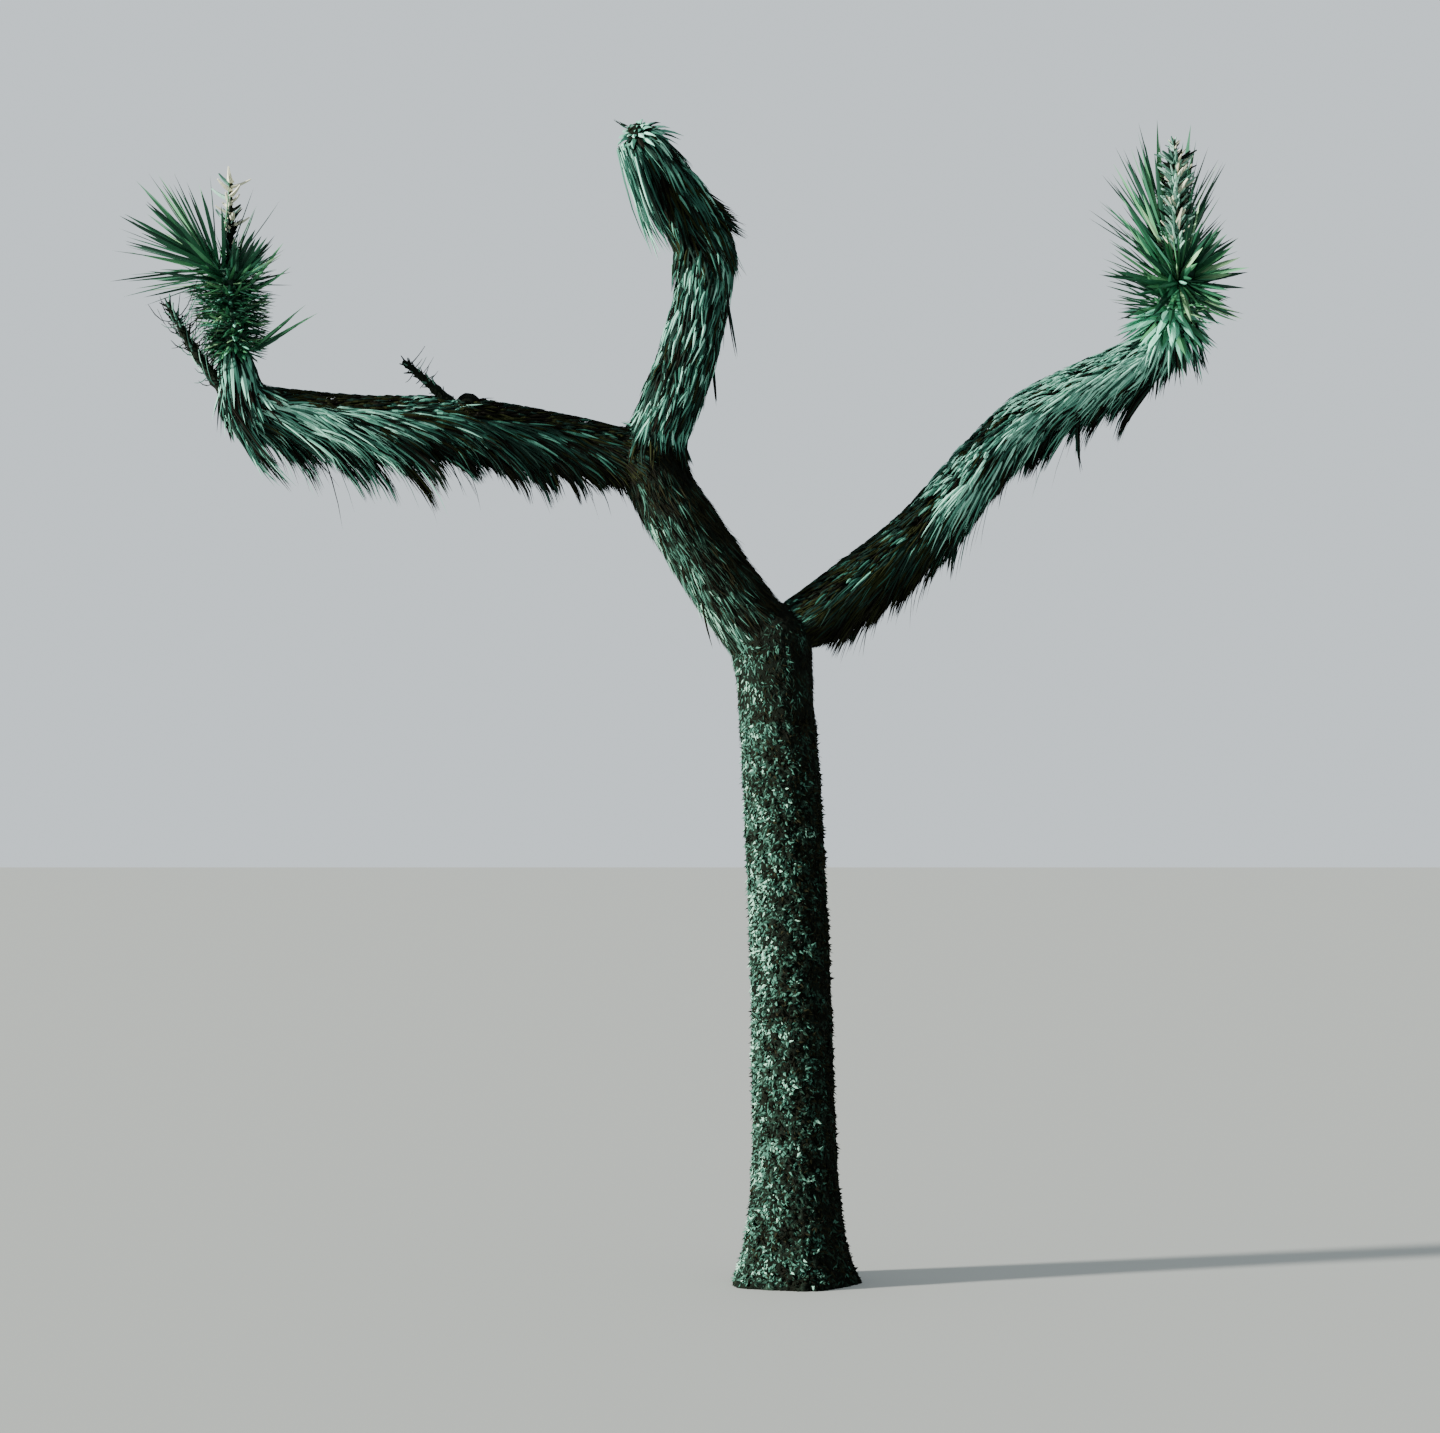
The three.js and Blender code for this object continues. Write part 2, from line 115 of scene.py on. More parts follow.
class Spine:
    """A smooth line through places, with a square frame at each point of it. Lengths are metres."""

    STEPS = 40

    def __init__(self, places):
        p = np.array(places, float) * MM
        p = np.vstack([2 * p[0] - p[1], p, 2 * p[-1] - p[-2]])
        knots = np.sqrt(np.linalg.norm(np.diff(p, axis=0), axis=1))
        share = np.linspace(0, 1, self.STEPS, endpoint=False)[:, None]
        rows = [self.stretch(p[i : i + 4], knots[i : i + 3], share) for i in range(len(p) - 3)]
        self.points = np.vstack([*rows, p[-2:-1]])
        steps = np.linalg.norm(np.diff(self.points, axis=0), axis=1)
        self.arc = np.concatenate([[0], np.cumsum(steps)])
        self.length = self.arc[-1]
        self.headings = unit(np.gradient(self.points, self.arc, axis=0))

    @staticmethod
    def stretch(p, knots, share):
        """The centripetal curve from p[1] to p[2]."""
        before, here, after = knots
        start = (p[1] - p[0]) / before - (p[2] - p[0]) / (before + here) + (p[2] - p[1]) / here
        end = (p[2] - p[1]) / here - (p[3] - p[1]) / (here + after) + (p[3] - p[2]) / after
        start, end = start * here, end * here
        square = 3 * (p[2] - p[1]) - 2 * start - end
        cube = 2 * (p[1] - p[2]) + start + end
        return p[1] + start * share + square * share**2 + cube * share**3

    def at(self, t):
        """Centre, and the directions along, side and across, at each share t of the length."""
        arc = np.clip(t, 0, 1) * self.length
        centre = np.stack([np.interp(arc, self.arc, self.points[:, i]) for i in range(3)], -1)
        along = unit(np.stack([np.interp(arc, self.arc, self.headings[:, i]) for i in range(3)], -1))
        side = unit(SIDEWAYS - dot(along, SIDEWAYS) * along)
        return centre, along, side, np.cross(along, side)

    def outward(self, t, turn):
        _, _, side, across = self.at(t)
        return side * np.cos(turn)[:, None] + across * np.sin(turn)[:, None]


TRUNK = Spine([BELOW_GROUND, (2, 1, 260), (-6, 6, 700), (-22, 11, 1130), (-44, 16, 1500), FORK])

# Each bough's line, and its radius at foot and tip
BOUGHS = {
    "lower_limb": (
        Spine([(-62, 18, 1690), (-140, 10, 1782), (-262, -20, 1962), (-340, -46, 2086), KNUCKLE]),
        (92, LOWER_LIMB_RADIUS),
    ),
    "left_arm": (
        Spine([KNUCKLE, (-560, -92, 2216), (-873, -190, 2262), (-1150, -272, 2268), ELBOW]),
        (62, ARM_CORE_RADIUS),
    ),
    "left_neck": (
        Spine([ELBOW, (-1434, -350, 2380), LEFT_CROWN_FOOT]),
        (NECK_RADIUS + 4, NECK_RADIUS - 4),
    ),
    "middle_arm_lower": (
        Spine([KNUCKLE, (-340, -56, 2290), (-282, -34, 2450), (-242, 2, 2620), KINK]),
        (66, ARM_CORE_RADIUS + 6),
    ),
    "middle_arm_upper": (
        Spine([KINK, (-288, -2, 2850), (-358, -42, 2952), DEAD_TIP]),
        (ARM_CORE_RADIUS + 6, ARM_CORE_RADIUS - 8),
    ),
    "right_arm_lower": (
        Spine([(-20, 22, 1720), (92, 46, 1799), (322, 132, 1974), SHALLOW_BEND]),
        (70, ARM_CORE_RADIUS + 6),
    ),
    "right_arm_upper": (
        Spine([SHALLOW_BEND, (648, 255, 2318), (850, 331, 2424), WRIST]),
        (ARM_CORE_RADIUS + 6, ARM_CORE_RADIUS),
    ),
    "right_neck": (
        Spine([WRIST, (1022, 388, 2540), RIGHT_CROWN_FOOT]),
        (NECK_RADIUS + 6, NECK_RADIUS),
    ),
}


def trunk_radius(t, outward):
    """The trunk's radius in metres, with its flare, the flare's lobes and the shoulder at the fork."""
    height = t * TRUNK.length / MM + BELOW_GROUND[2]
    to_fork = (1 - t) * TRUNK.length / MM
    flare = ROOT_FLARE * np.exp(-np.maximum(0, height) / FLARE_HEIGHT)
    lobes = 1 + LOBE_DEPTH * np.cos(FLARE_LOBES * np.arctan2(outward[:, 1], outward[:, 0]))
    shoulder = SHOULDER * np.exp(-((to_fork / SHOULDER_REACH) ** 2))
    return MM * (mix(TRUNK_FOOT_RADIUS, TRUNK_TOP_RADIUS, t) + flare * lobes + shoulder)


def bough_radius(name):
    foot, tip = BOUGHS[name][1]
    return lambda t, outward: MM * mix(foot, tip, t)


# A low hump on the left arm, beside the stub
HUMP = Spine([(-838, -186, 2262), (-846, -188, 2290), (-852, -190, 2308)])
HUMP_RADIUS = 38


def hump_radius(t, outward):
    return MM * HUMP_RADIUS


# The wood as close rows of balls, so that a leaf can tell how far it is from the bark


class Wood:
    SPACING = 9 * MM

    def __init__(self):
        limbs = {"trunk": (TRUNK, trunk_radius)}
        limbs.update({name: (BOUGHS[name][0], bough_radius(name)) for name in BOUGHS})
        limbs["hump"] = (HUMP, hump_radius)
        self.names = list(limbs)
        labels = ("centre", "along", "side", "across", "radius", "arc", "share", "limb")
        rows = {label: [] for label in labels}
        for number, (spine, radius_at) in enumerate(limbs.values()):
            t = np.linspace(0, 1, int(spine.length / self.SPACING) + 2)
            centre, along, side, across = spine.at(t)
            level = np.tile(np.array([[1.0, 0.0, 0.0]]), (len(t), 1))
            radius = np.broadcast_to(radius_at(t, level), len(t))
            found = (centre, along, side, across, radius, t * spine.length, t, np.full(len(t), number))
            for key, values in zip(rows, found):
                rows[key].append(values)
        for key, values in rows.items():
            setattr(self, key, np.concatenate(values))

    def nearest(self, places, reach=3000):
        """For each place, the ball whose surface is nearest, and the distance to that surface."""
        ball = np.empty(len(places), int)
        gap = np.empty(len(places))
        for start in range(0, len(places), reach):
            some = places[start : start + reach]
            apart = np.sqrt(np.maximum(0, self.squares(some, self.centre))) - self.radius
            ball[start : start + reach] = apart.argmin(1)
            gap[start : start + reach] = apart.min(1)
        return ball, gap

    @staticmethod
    def squares(a, b):
        return (a * a).sum(1)[:, None] + (b * b).sum(1)[None] - 2 * a @ b.T

    def gap(self, places):
        """The distance to the bark, and the way out from it."""
        ball, gap = self.nearest(places)
        apart = places - self.centre[ball]
        along = self.along[ball]
        level = unit(apart - dot(apart, along) * along)
        return gap[:, None], level, ball


WOOD = Wood()


# Settings that a user would change


def size(name, description, default):
    """A length in metres that a user may change."""
    return bpy.props.FloatProperty(name=name, description=description, default=default, unit="LENGTH")


class JoshuaWoodSettings(bpy.types.PropertyGroup):
    mesh_size: size("Mesh size", "Size of the faces of the bark in sight", 0.005)
    hidden_mesh_size: size("Hidden mesh size", "Size of the faces of the bark under leaves", 0.009)
    plate_size: size("Plate size", "Width of a plate of bark on the trunk", 0.015)
    plate_depth: size("Plate depth", "How far the plates stand out", 0.009)
    lump_depth: size("Lump depth", "Height of the broad lumps under the plates", 0.014)
    scale_spacing: size("Scale spacing", "Distance between the dry scales on the bark", 0.0068)
    seed: bpy.props.IntProperty(name="Seed", description="Which random bark is made", default=3, min=0)


class JoshuaLeafSettings(bpy.types.PropertyGroup):
    living_length: size("Living leaf length", "Length of the longest living leaf", 0.25)
    living_width: size("Living leaf width", "Widest part of a living leaf", 0.014)
    dead_length: size("Dead leaf length", "Length of the longest dead leaf", 0.21)
    dead_width: size("Dead leaf width", "Widest part of a dead leaf", 0.0068)
    dead_spacing: size("Dead leaf spacing", "Distance between the roots of dead leaves", 0.0074)


class JoshuaStudioSettings(bpy.types.PropertyGroup):
    key_strength: bpy.props.FloatProperty(
        name="Key light", description="Strength of the low light from the left", default=13.0, min=0.0
    )
    key_angle: bpy.props.FloatProperty(
        name="Softness",
        description="Angle that the light fills, which softens shadows",
        default=0.09,
        unit="ROTATION",
    )
    sky_strength: bpy.props.FloatProperty(
        name="Sky", description="Strength of the even light from all round", default=0.55, min=0.0
    )
    backdrop_strength: bpy.props.FloatProperty(
        name="Backdrop", description="Brightness of the plain backdrop", default=1.0, min=0.0
    )
    floor_colour: bpy.props.FloatVectorProperty(
        name="Floor", description="Colour of the floor", subtype="COLOR", size=4, default=colour("c9ccc8")
    )


# Nodes


class Nodes:
    """Adds nodes to a tree and joins them by name, so that a tree reads as a list of steps."""

    COLUMN_WIDTH = 190

    def __init__(self, tree):
        self.tree = tree
        self.column = 0

    def add(self, kind, links=None, **settings):
        node = self.tree.nodes.new(kind)
        node.location = (self.column * self.COLUMN_WIDTH, 0)
        self.column += 1
        for key, value in settings.items():
            setattr(node, key, value)
        for socket, value in (links or {}).items():
            self.feed(node.inputs[socket], value)
        return node

    def feed(self, socket, value):
        if isinstance(value, bpy.types.NodeSocket):
            self.tree.links.new(value, socket)
        else:
            socket.default_value = value

    def maths(self, operation, first, second=0.0, third=0.0):
        node = self.add("ShaderNodeMath", {0: first, 1: second, 2: third}, operation=operation)
        return node.outputs[0]

    def vectors(self, operation, first, second=(0, 0, 0)):
        node = self.add("ShaderNodeVectorMath", {0: first, 1: second}, operation=operation)
        return node.outputs[0]

    def scaled(self, vector, factor):
        node = self.add("ShaderNodeVectorMath", {"Vector": vector, "Scale": factor}, operation="SCALE")
        return node.outputs[0]

    def mixed(self, data_type, share, first, second):
        node = self.add("ShaderNodeMix", {"Factor": share, "A": first, "B": second}, data_type=data_type)
        return node.outputs["Result"]

    def attribute(self, label, data_type):
        node = self.add("GeometryNodeInputNamedAttribute", {"Name": label}, data_type=data_type)
        return node.outputs[0]

    def ranged(self, value, low, high, to_low=0.0, to_high=1.0):
        links = {"Value": value, "From Min": low, "From Max": high, "To Min": to_low, "To Max": to_high}
        return self.add("ShaderNodeMapRange", links, interpolation_type="SMOOTHSTEP").outputs[0]

    def noise(self, vector, scale, detail=3.0, roughness=0.6):
        links = {"Vector": vector, "Scale": scale, "Detail": detail, "Roughness": roughness}
        return self.add("ShaderNodeTexNoise", links).outputs["Fac"]


def new_tree(name, kind, inputs, outputs):
    """An empty group with its named sockets, its input and its output node."""
    tree = bpy.data.node_groups.new(name, kind)
    for label, socket_type, default in inputs:
        socket = tree.interface.new_socket(label, in_out="INPUT", socket_type=socket_type)
        if default is not None:
            socket.default_value = default
    for label, socket_type in outputs:
        tree.interface.new_socket(label, in_out="OUTPUT", socket_type=socket_type)
    steps = Nodes(tree)
    return tree, steps, steps.add("NodeGroupInput").outputs


# How much light dry and living surfaces throw back, as a Principled shader's specular level
DRY_SHINE = 0.08
LIVING_SHINE = 0.3

# How rough the surfaces are, and how far weathered blotches change that
DEAD_ROUGHNESS = 0.8
SCALE_ROUGHNESS = 0.9
LIVING_ROUGHNESS = 0.5
STALK_ROUGHNESS = 0.85
BARK_ROUGHNESS = 0.95
FLOOR_ROUGHNESS = 0.9
BLOTCH_ROUGHNESS = 0.1

# Where each colour of the bark sets in, as a range of its relief, its wear or its grain
CRACK_SHADE_RANGE = (0.15, 0.6)
PLATE_RANGE = (0.45, 0.8)
WORN_RANGE = (0.5, 0.85)
GRAIN_RANGE = (0.3, 0.7)
BLOTCH_RANGE = (0.35, 0.65)
LEAST_FLECK = 0.35
MOSS_SHARE = 0.35

# Bark from its cracks, darkened as painted shade, to its plates, its worn plates and its moss
BARK_COLOURS = ("060805", "121a14", "486858", "14130a")
# Under the leaves the worn plates are much darker, painted shade
SHADED_HIDDEN_BARK_COLOURS = ("060805", "141a13", "24302a", "17140a")


def weathering_group():
    """Fine grain and blotches that every dry surface of the tree shares."""
    name = "Weathering"
    if name in bpy.data.node_groups:
        return bpy.data.node_groups[name]
    inputs = [
        ("Vector", "NodeSocketVector", None),
        ("Grain Size", "NodeSocketFloat", 0.002),
        ("Blotch Size", "NodeSocketFloat", 0.05),
    ]
    outputs = [("Grain", "NodeSocketFloat"), ("Blotches", "NodeSocketFloat")]
    tree, steps, given = new_tree(name, "ShaderNodeTree", inputs, outputs)
    per_grain = steps.maths("DIVIDE", 1.0, given["Grain Size"])
    per_blotch = steps.maths("DIVIDE", 1.0, given["Blotch Size"])
    grain = steps.noise(given["Vector"], per_grain, detail=4.0, roughness=0.7)
    blotches = steps.noise(given["Vector"], per_blotch)
    steps.add("NodeGroupOutput", {"Grain": grain, "Blotches": steps.ranged(blotches, *BLOTCH_RANGE)})
    return tree


def new_material(name, roughness, shine=DRY_SHINE):
    """A material with its Principled shader, and the steps to go on with."""
    material = bpy.data.materials.new(name)
    material.use_nodes = True
    steps = Nodes(material.node_tree)
    shader = material.node_tree.nodes["Principled BSDF"]
    shader.inputs["Roughness"].default_value = roughness
    shader.inputs["Specular IOR Level"].default_value = shine
    return material, steps, shader


def weathered(steps):
    """The weathering at each place of a piece."""
    places = steps.add("ShaderNodeTexCoord").outputs["Object"]
    weather = steps.add("ShaderNodeGroup", {}, node_tree=weathering_group())
    steps.feed(weather.inputs["Vector"], places)
    return weather.outputs


def bumped(steps, shader, height, strength, distance):
    """Adds relief that is too fine for the mesh."""
    bump = steps.add("ShaderNodeBump", {"Strength": strength, "Distance": distance, "Height": height})
    steps.feed(shader.inputs["Normal"], bump.outputs["Normal"])


def leaf_material(name, code, roughness, shine):
    """One plain leaf colour, with fine fibres in its roughness and its surface."""
    material, steps, shader = new_material(name, roughness, shine)
    shader.inputs["Base Color"].default_value = colour(code)
    weather = weathered(steps)
    low, high = roughness - BLOTCH_ROUGHNESS, roughness + BLOTCH_ROUGHNESS
    steps.feed(shader.inputs["Roughness"], steps.ranged(weather["Blotches"], 0.0, 1.0, low, high))
    bumped(steps, shader, weather["Grain"], strength=0.25, distance=1 * MM)
    return material


def bark_material(name, dark, middle, pale, moss):
    """Bark: near black in its cracks as painted shade that follows the relief, grey-green on its plates, and
    pale on the worn ones.
    """
    material, steps, shader = new_material(name, BARK_ROUGHNESS)
    weather = weathered(steps)
    relief = steps.add("ShaderNodeAttribute", {}, attribute_name="relief").outputs["Fac"]
    worn = steps.add("ShaderNodeAttribute", {}, attribute_name="worn").outputs["Fac"]
    grain = steps.ranged(weather["Grain"], *GRAIN_RANGE)
    # Painted shade: the colour sinks to near black where the relief sinks into the cracks
    body = steps.mixed("RGBA", steps.ranged(relief, *CRACK_SHADE_RANGE), colour(dark), colour(middle))
    fleck = steps.maths("MULTIPLY", steps.ranged(worn, *WORN_RANGE), steps.ranged(relief, *PLATE_RANGE))
    fleck = steps.maths("MULTIPLY", fleck, steps.maths("ADD", LEAST_FLECK, grain))
    flecked = steps.mixed("RGBA", fleck, body, colour(pale))
    moss_share = steps.maths("MULTIPLY", weather["Blotches"], MOSS_SHARE)
    steps.feed(shader.inputs["Base Color"], steps.mixed("RGBA", moss_share, flecked, colour(moss)))
    bumped(steps, shader, weather["Grain"], strength=1.0, distance=4 * MM)
    return material


# Tones as they show in the low light, where the whole plant leans to teal. Each list runs from the
# palest to the darkest, but for the living leaves' last, which is that of their bent pale bases.
DEAD_TONES = {
    "Bleached leaf": "98d6c0",
    "Silver leaf": "5d9a86",
    "Teal leaf": "2d594c",
    "Slate leaf": "192e27",
    "Olive leaf": "20240f",
    "Dark leaf": "100f09",
}
SCALE_TONES = {
    "Pale scale": "96cab2",
    "Teal scale": "446f60",
    "Grey scale": "22382e",
    "Brown scale": "1f1f12",
    "Black scale": "0c0d07",
}
LIVING_TONES = {
    "Pale leaf": "8ab88a",
    "Bright leaf": "4c8f62",
    "Green leaf": "245e42",
    "Deep leaf": "123c2b",
    "Reflexed leaf": "8adcc0",
}
STALK_TONES = {
    "Cream bract": "d8d8c0",
    "Pale pod": "8fbdab",
    "Grey stalk": "4c7466",
    "Dark stalk": "10170f",
}


def materials_of(tones, roughness, shine=DRY_SHINE):
    for name, code in tones.items():
        if name not in bpy.data.materials:
            leaf_material(name, code, roughness, shine)
    return [bpy.data.materials[name] for name in tones]


# Blades: leaves, scales and stems swept along their centre lines


def blade_tree(name, materials, sides):
    """Sweeps each line of a mesh into a closed blade. Its width and facing come from the line's own
    attributes, and each tone takes its material."""
    inputs = [
        ("Lines", "NodeSocketGeometry", None),
        ("Thickness", "NodeSocketFloat", 0.2),
        ("Weld", "NodeSocketFloat", 0.00001),
    ]
    tree, steps, given = new_tree(name, "GeometryNodeTree", inputs, [("Blades", "NodeSocketGeometry")])
    line = steps.add("GeometryNodeMeshToCurve", {"Mesh": given["Lines"]}).outputs[0]
    turned = steps.add("GeometryNodeSetCurveNormal", {"Curve": line}, mode="FREE")
    steps.feed(turned.inputs["Normal"], steps.attribute("facing", "FLOAT_VECTOR"))
    ring = steps.add("GeometryNodeCurvePrimitiveCircle", {"Resolution": sides, "Radius": 1.0}).outputs[0]
    flatter = steps.add("ShaderNodeCombineXYZ", {"X": given["Thickness"], "Y": 1.0, "Z": 1.0})
    section = steps.add("GeometryNodeTransform", {"Geometry": ring, "Scale": flatter.outputs[0]})
    swept = steps.add("GeometryNodeCurveToMesh", {"Curve": turned.outputs[0], "Fill Caps": True})
    steps.feed(swept.inputs["Profile Curve"], section.outputs[0])
    steps.feed(swept.inputs["Scale"], steps.attribute("half_width", "FLOAT"))
    links = {"Geometry": swept.outputs[0], "Distance": given["Weld"]}
    welded = steps.add("GeometryNodeMergeByDistance", links)
    flat = steps.add("GeometryNodeSetShadeSmooth", {"Geometry": welded.outputs[0], "Shade Smooth": False})
    whole = steps.add("GeometryNodeRealizeInstances", {"Geometry": flat.outputs[0]}).outputs[0]
    tone = steps.attribute("tone", "FLOAT")
    for number, material in enumerate(materials):
        links = {"A": tone, "B": float(number), "Epsilon": 0.5}
        chosen = steps.add("FunctionNodeCompare", links, data_type="FLOAT", operation="EQUAL").outputs[0]
        links = {"Geometry": whole, "Selection": chosen, "Material": material}
        whole = steps.add("GeometryNodeSetMaterial", links).outputs[0]
    steps.add("NodeGroupOutput", {"Blades": whole})
    return tree


def set_inputs(modifier, tree, values):
    for item in tree.interface.items_tree:
        if item.item_type == "SOCKET" and item.in_out == "INPUT" and item.name in values:
            modifier[item.identifier] = values[item.name]


def link(name, mesh):
    piece = bpy.data.objects.new(name, mesh)
    bpy.context.scene.collection.objects.link(piece)
    return piece


def made_plain(rough, name):
    """The result of an object's modifiers as a plain mesh object, with the rough one removed."""
    bpy.context.view_layer.update()
    graph = bpy.context.evaluated_depsgraph_get()
    shown = rough.evaluated_get(graph)
    mesh = bpy.data.meshes.new_from_object(shown, preserve_all_data_layers=True, depsgraph=graph)
    first = rough.data
    bpy.data.objects.remove(rough)
    bpy.data.meshes.remove(first)
    mesh.name = name
    return link(name, mesh)


def line_mesh(name, lines, widths, facings, tones):
    """A mesh of separate lines, each with its widths, facings and one tone."""
    count, points = lines.shape[:2]
    mesh = bpy.data.meshes.new(name)
    mesh.vertices.add(count * points)
    mesh.vertices.foreach_set("co", lines.astype(np.float32).ravel())
    numbers = np.arange(count * points).reshape(count, points)
    pairs = np.stack([numbers[:, :-1], numbers[:, 1:]], -1)
    mesh.edges.add(pairs.size // 2)
    mesh.edges.foreach_set("vertices", pairs.astype(np.int32).ravel())
    for label, values in (("half_width", widths / 2), ("tone", np.repeat(tones, points))):
        layer = mesh.attributes.new(label, "FLOAT", "POINT")
        layer.data.foreach_set("value", values.astype(np.float32).ravel())
    layer = mesh.attributes.new("facing", "FLOAT_VECTOR", "POINT")
    layer.data.foreach_set("vector", facings.astype(np.float32).ravel())
    mesh.update()
    return mesh


class Blades:
    """Leaves, scales or stems gathered for one piece."""

    def __init__(self):
        self.rows = []

    def add(self, lines, widths, facings, tones):
        self.rows.append((lines, widths, facings, tones))

    def make(self, name, materials, thickness, sides=3):
        lines, widths, facings, tones = (np.concatenate(column) for column in zip(*self.rows))
        rough = link(name + "_lines", line_mesh(name + "_lines", lines, widths, facings, tones))
        tree = blade_tree(name + " blades", materials, sides)
        modifier = rough.modifiers.new("Blades", "NODES")
        modifier.node_group = tree
        set_inputs(modifier, tree, {"Thickness": thickness})
        piece = made_plain(rough, name)
        for label in ("half_width", "facing", "tone"):
            layer = piece.data.attributes.get(label)
            if layer:
                piece.data.attributes.remove(layer)
        return piece


# Bark

# The rings of a limb's round end, in degrees from its widest
ROUND_END = (80, 60, 40, 20)

# The bark's patterns: how many fit in a metre, their detail and roughness, and how they stretch along
# the grain. The plates' size is a setting, and their edges are a range of their pattern.
PLATE_NOISE = dict(detail=4.0, roughness=0.72)
PLATE_STRETCH = (1.0, 1.0, 0.55)
PLATE_EDGES = (0.43, 0.56)
FIBRE_NOISE = dict(scale=260.0, detail=3.0, roughness=0.65)
FIBRE_STRETCH = (1.0, 1.0, 0.1)
CRUMB_NOISE = dict(scale=190.0, detail=3.0, roughness=0.7)
LUMP_NOISE = dict(scale=14.0, detail=3.0, roughness=0.5)
WORN_NOISE = dict(scale=34.0, detail=4.0, roughness=0.7)
WORN_STRETCH = (1.0, 1.0, 0.6)
SEED_STEP = (1.7, 0.9, 2.3)

# What the relief is made of. The middle level stays in place, and fibrous bark has less depth.
MIDDLE_LEVEL = 0.5
COARSE_PLATES = 0.7
COARSE_CRUMBS = 0.5
FIBROUS_PLATES = 0.3
FIBROUS_FIBRES = 0.7
FIBROUS_DEPTH = 0.5

# The bark is coarse on the trunk and turns fibrous over a short way below the fork, in metres
COARSE_BELOW_FORK = 0.12
COARSE_FADE = 0.35

# How far the pattern moves from limb to limb, and how the skin round the limbs is softened
LIMB_SHIFT = (0.7, 0.3, 0.0)
SOFTEN_BY = 0.5
SOFTEN_TIMES = 14


def limb_mesh(mesh, spine, radius_at, sides=40, step=14 * MM):
    """Adds a closed tube with round ends to a bmesh."""
    steps = int(spine.length / step) + 2
    angles = [math.radians(a) for a in ROUND_END]
    stations = [(0.0, math.cos(a), -math.sin(a)) for a in angles]
    stations += [(i / steps, 1.0, 0.0) for i in range(steps + 1)]
    stations += [(1.0, math.cos(a), math.sin(a)) for a in reversed(angles)]
    turns = np.arange(sides) * 2 * math.pi / sides
    rings = []
    for t, share, past in stations:
        ts = np.full(sides, t)
        centre, along, _, _ = spine.at(ts)
        outward = spine.outward(ts, turns)
        radius = np.broadcast_to(radius_at(ts, outward), (sides,))[:, None]
        places = centre + outward * radius * share + along * radius * past
        rings.append([mesh.verts.new(p) for p in places])
    for ring, after in zip(rings, rings[1:]):
        for i in range(sides):
            j = (i + 1) % sides
            mesh.faces.new((ring[i], ring[j], after[j], after[i]))
    mesh.faces.new(list(reversed(rings[0])))
    mesh.faces.new(rings[-1])


def bark_tree(name, material):
    """Pushes the bark out into ragged plates with cracks between them, over broad lumps, and stores
    how high each place is and how worn it is."""
    inputs = [
        ("Bark", "NodeSocketGeometry", None),
        ("Plate Size", "NodeSocketFloat", 0.015),
        ("Plate Depth", "NodeSocketFloat", 0.009),
        ("Lump Depth", "NodeSocketFloat", 0.014),
        ("Seed", "NodeSocketInt", 0),
    ]
    tree, steps, given = new_tree(name, "GeometryNodeTree", inputs, [("Bark", "NodeSocketGeometry")])
    grain = steps.attribute("grain", "FLOAT_VECTOR")
    coarse = steps.attribute("coarse", "FLOAT")
    grain = steps.vectors("ADD", grain, steps.scaled(SEED_STEP, given["Seed"]))
    per_plate = steps.maths("DIVIDE", 1.0, given["Plate Size"])
    islands = steps.noise(steps.vectors("MULTIPLY", grain, PLATE_STRETCH), per_plate, **PLATE_NOISE)
    plates = steps.ranged(islands, *PLATE_EDGES)
    fibres = steps.noise(steps.vectors("MULTIPLY", grain, FIBRE_STRETCH), **FIBRE_NOISE)
    crumbs = steps.noise(grain, **CRUMB_NOISE)
    rough = steps.maths("MULTIPLY", plates, COARSE_PLATES)
    rough = steps.maths("MULTIPLY_ADD", crumbs, COARSE_CRUMBS, rough)
    fine = steps.maths("MULTIPLY", fibres, FIBROUS_FIBRES)
    fine = steps.maths("MULTIPLY_ADD", plates, FIBROUS_PLATES, fine)
    relief = steps.mixed("FLOAT", coarse, fine, rough)
    lumps = steps.maths("SUBTRACT", steps.noise(grain, **LUMP_NOISE), MIDDLE_LEVEL)
    depth = steps.maths("MULTIPLY_ADD", coarse, 1 - FIBROUS_DEPTH, FIBROUS_DEPTH)
    depth = steps.maths("MULTIPLY", given["Plate Depth"], depth)
    push = steps.maths("MULTIPLY", steps.maths("SUBTRACT", relief, MIDDLE_LEVEL), depth)
    push = steps.maths("MULTIPLY_ADD", lumps, given["Lump Depth"], push)
    worn = steps.noise(steps.vectors("MULTIPLY", grain, WORN_STRETCH), **WORN_NOISE)
    bark = given["Bark"]
    for label, value in (("relief", relief), ("worn", worn)):
        links = {"Geometry": bark, "Name": label, "Value": value}
        bark = steps.add("GeometryNodeStoreNamedAttribute", links, data_type="FLOAT").outputs[0]
    normal = steps.add("GeometryNodeInputNormal").outputs[0]
    moved = steps.add("GeometryNodeSetPosition", {"Geometry": bark, "Offset": steps.scaled(normal, push)})
    whole = steps.add("GeometryNodeRealizeInstances", {"Geometry": moved.outputs[0]})
    painted = steps.add("GeometryNodeSetMaterial", {"Geometry": whole.outputs[0], "Material": material})
    steps.add("NodeGroupOutput", {"Bark": painted.outputs[0]})
    return tree


def places_of(mesh):
    places = np.empty(len(mesh.vertices) * 3, np.float32)
    mesh.vertices.foreach_get("co", places)
    return places.reshape(-1, 3).astype(float)


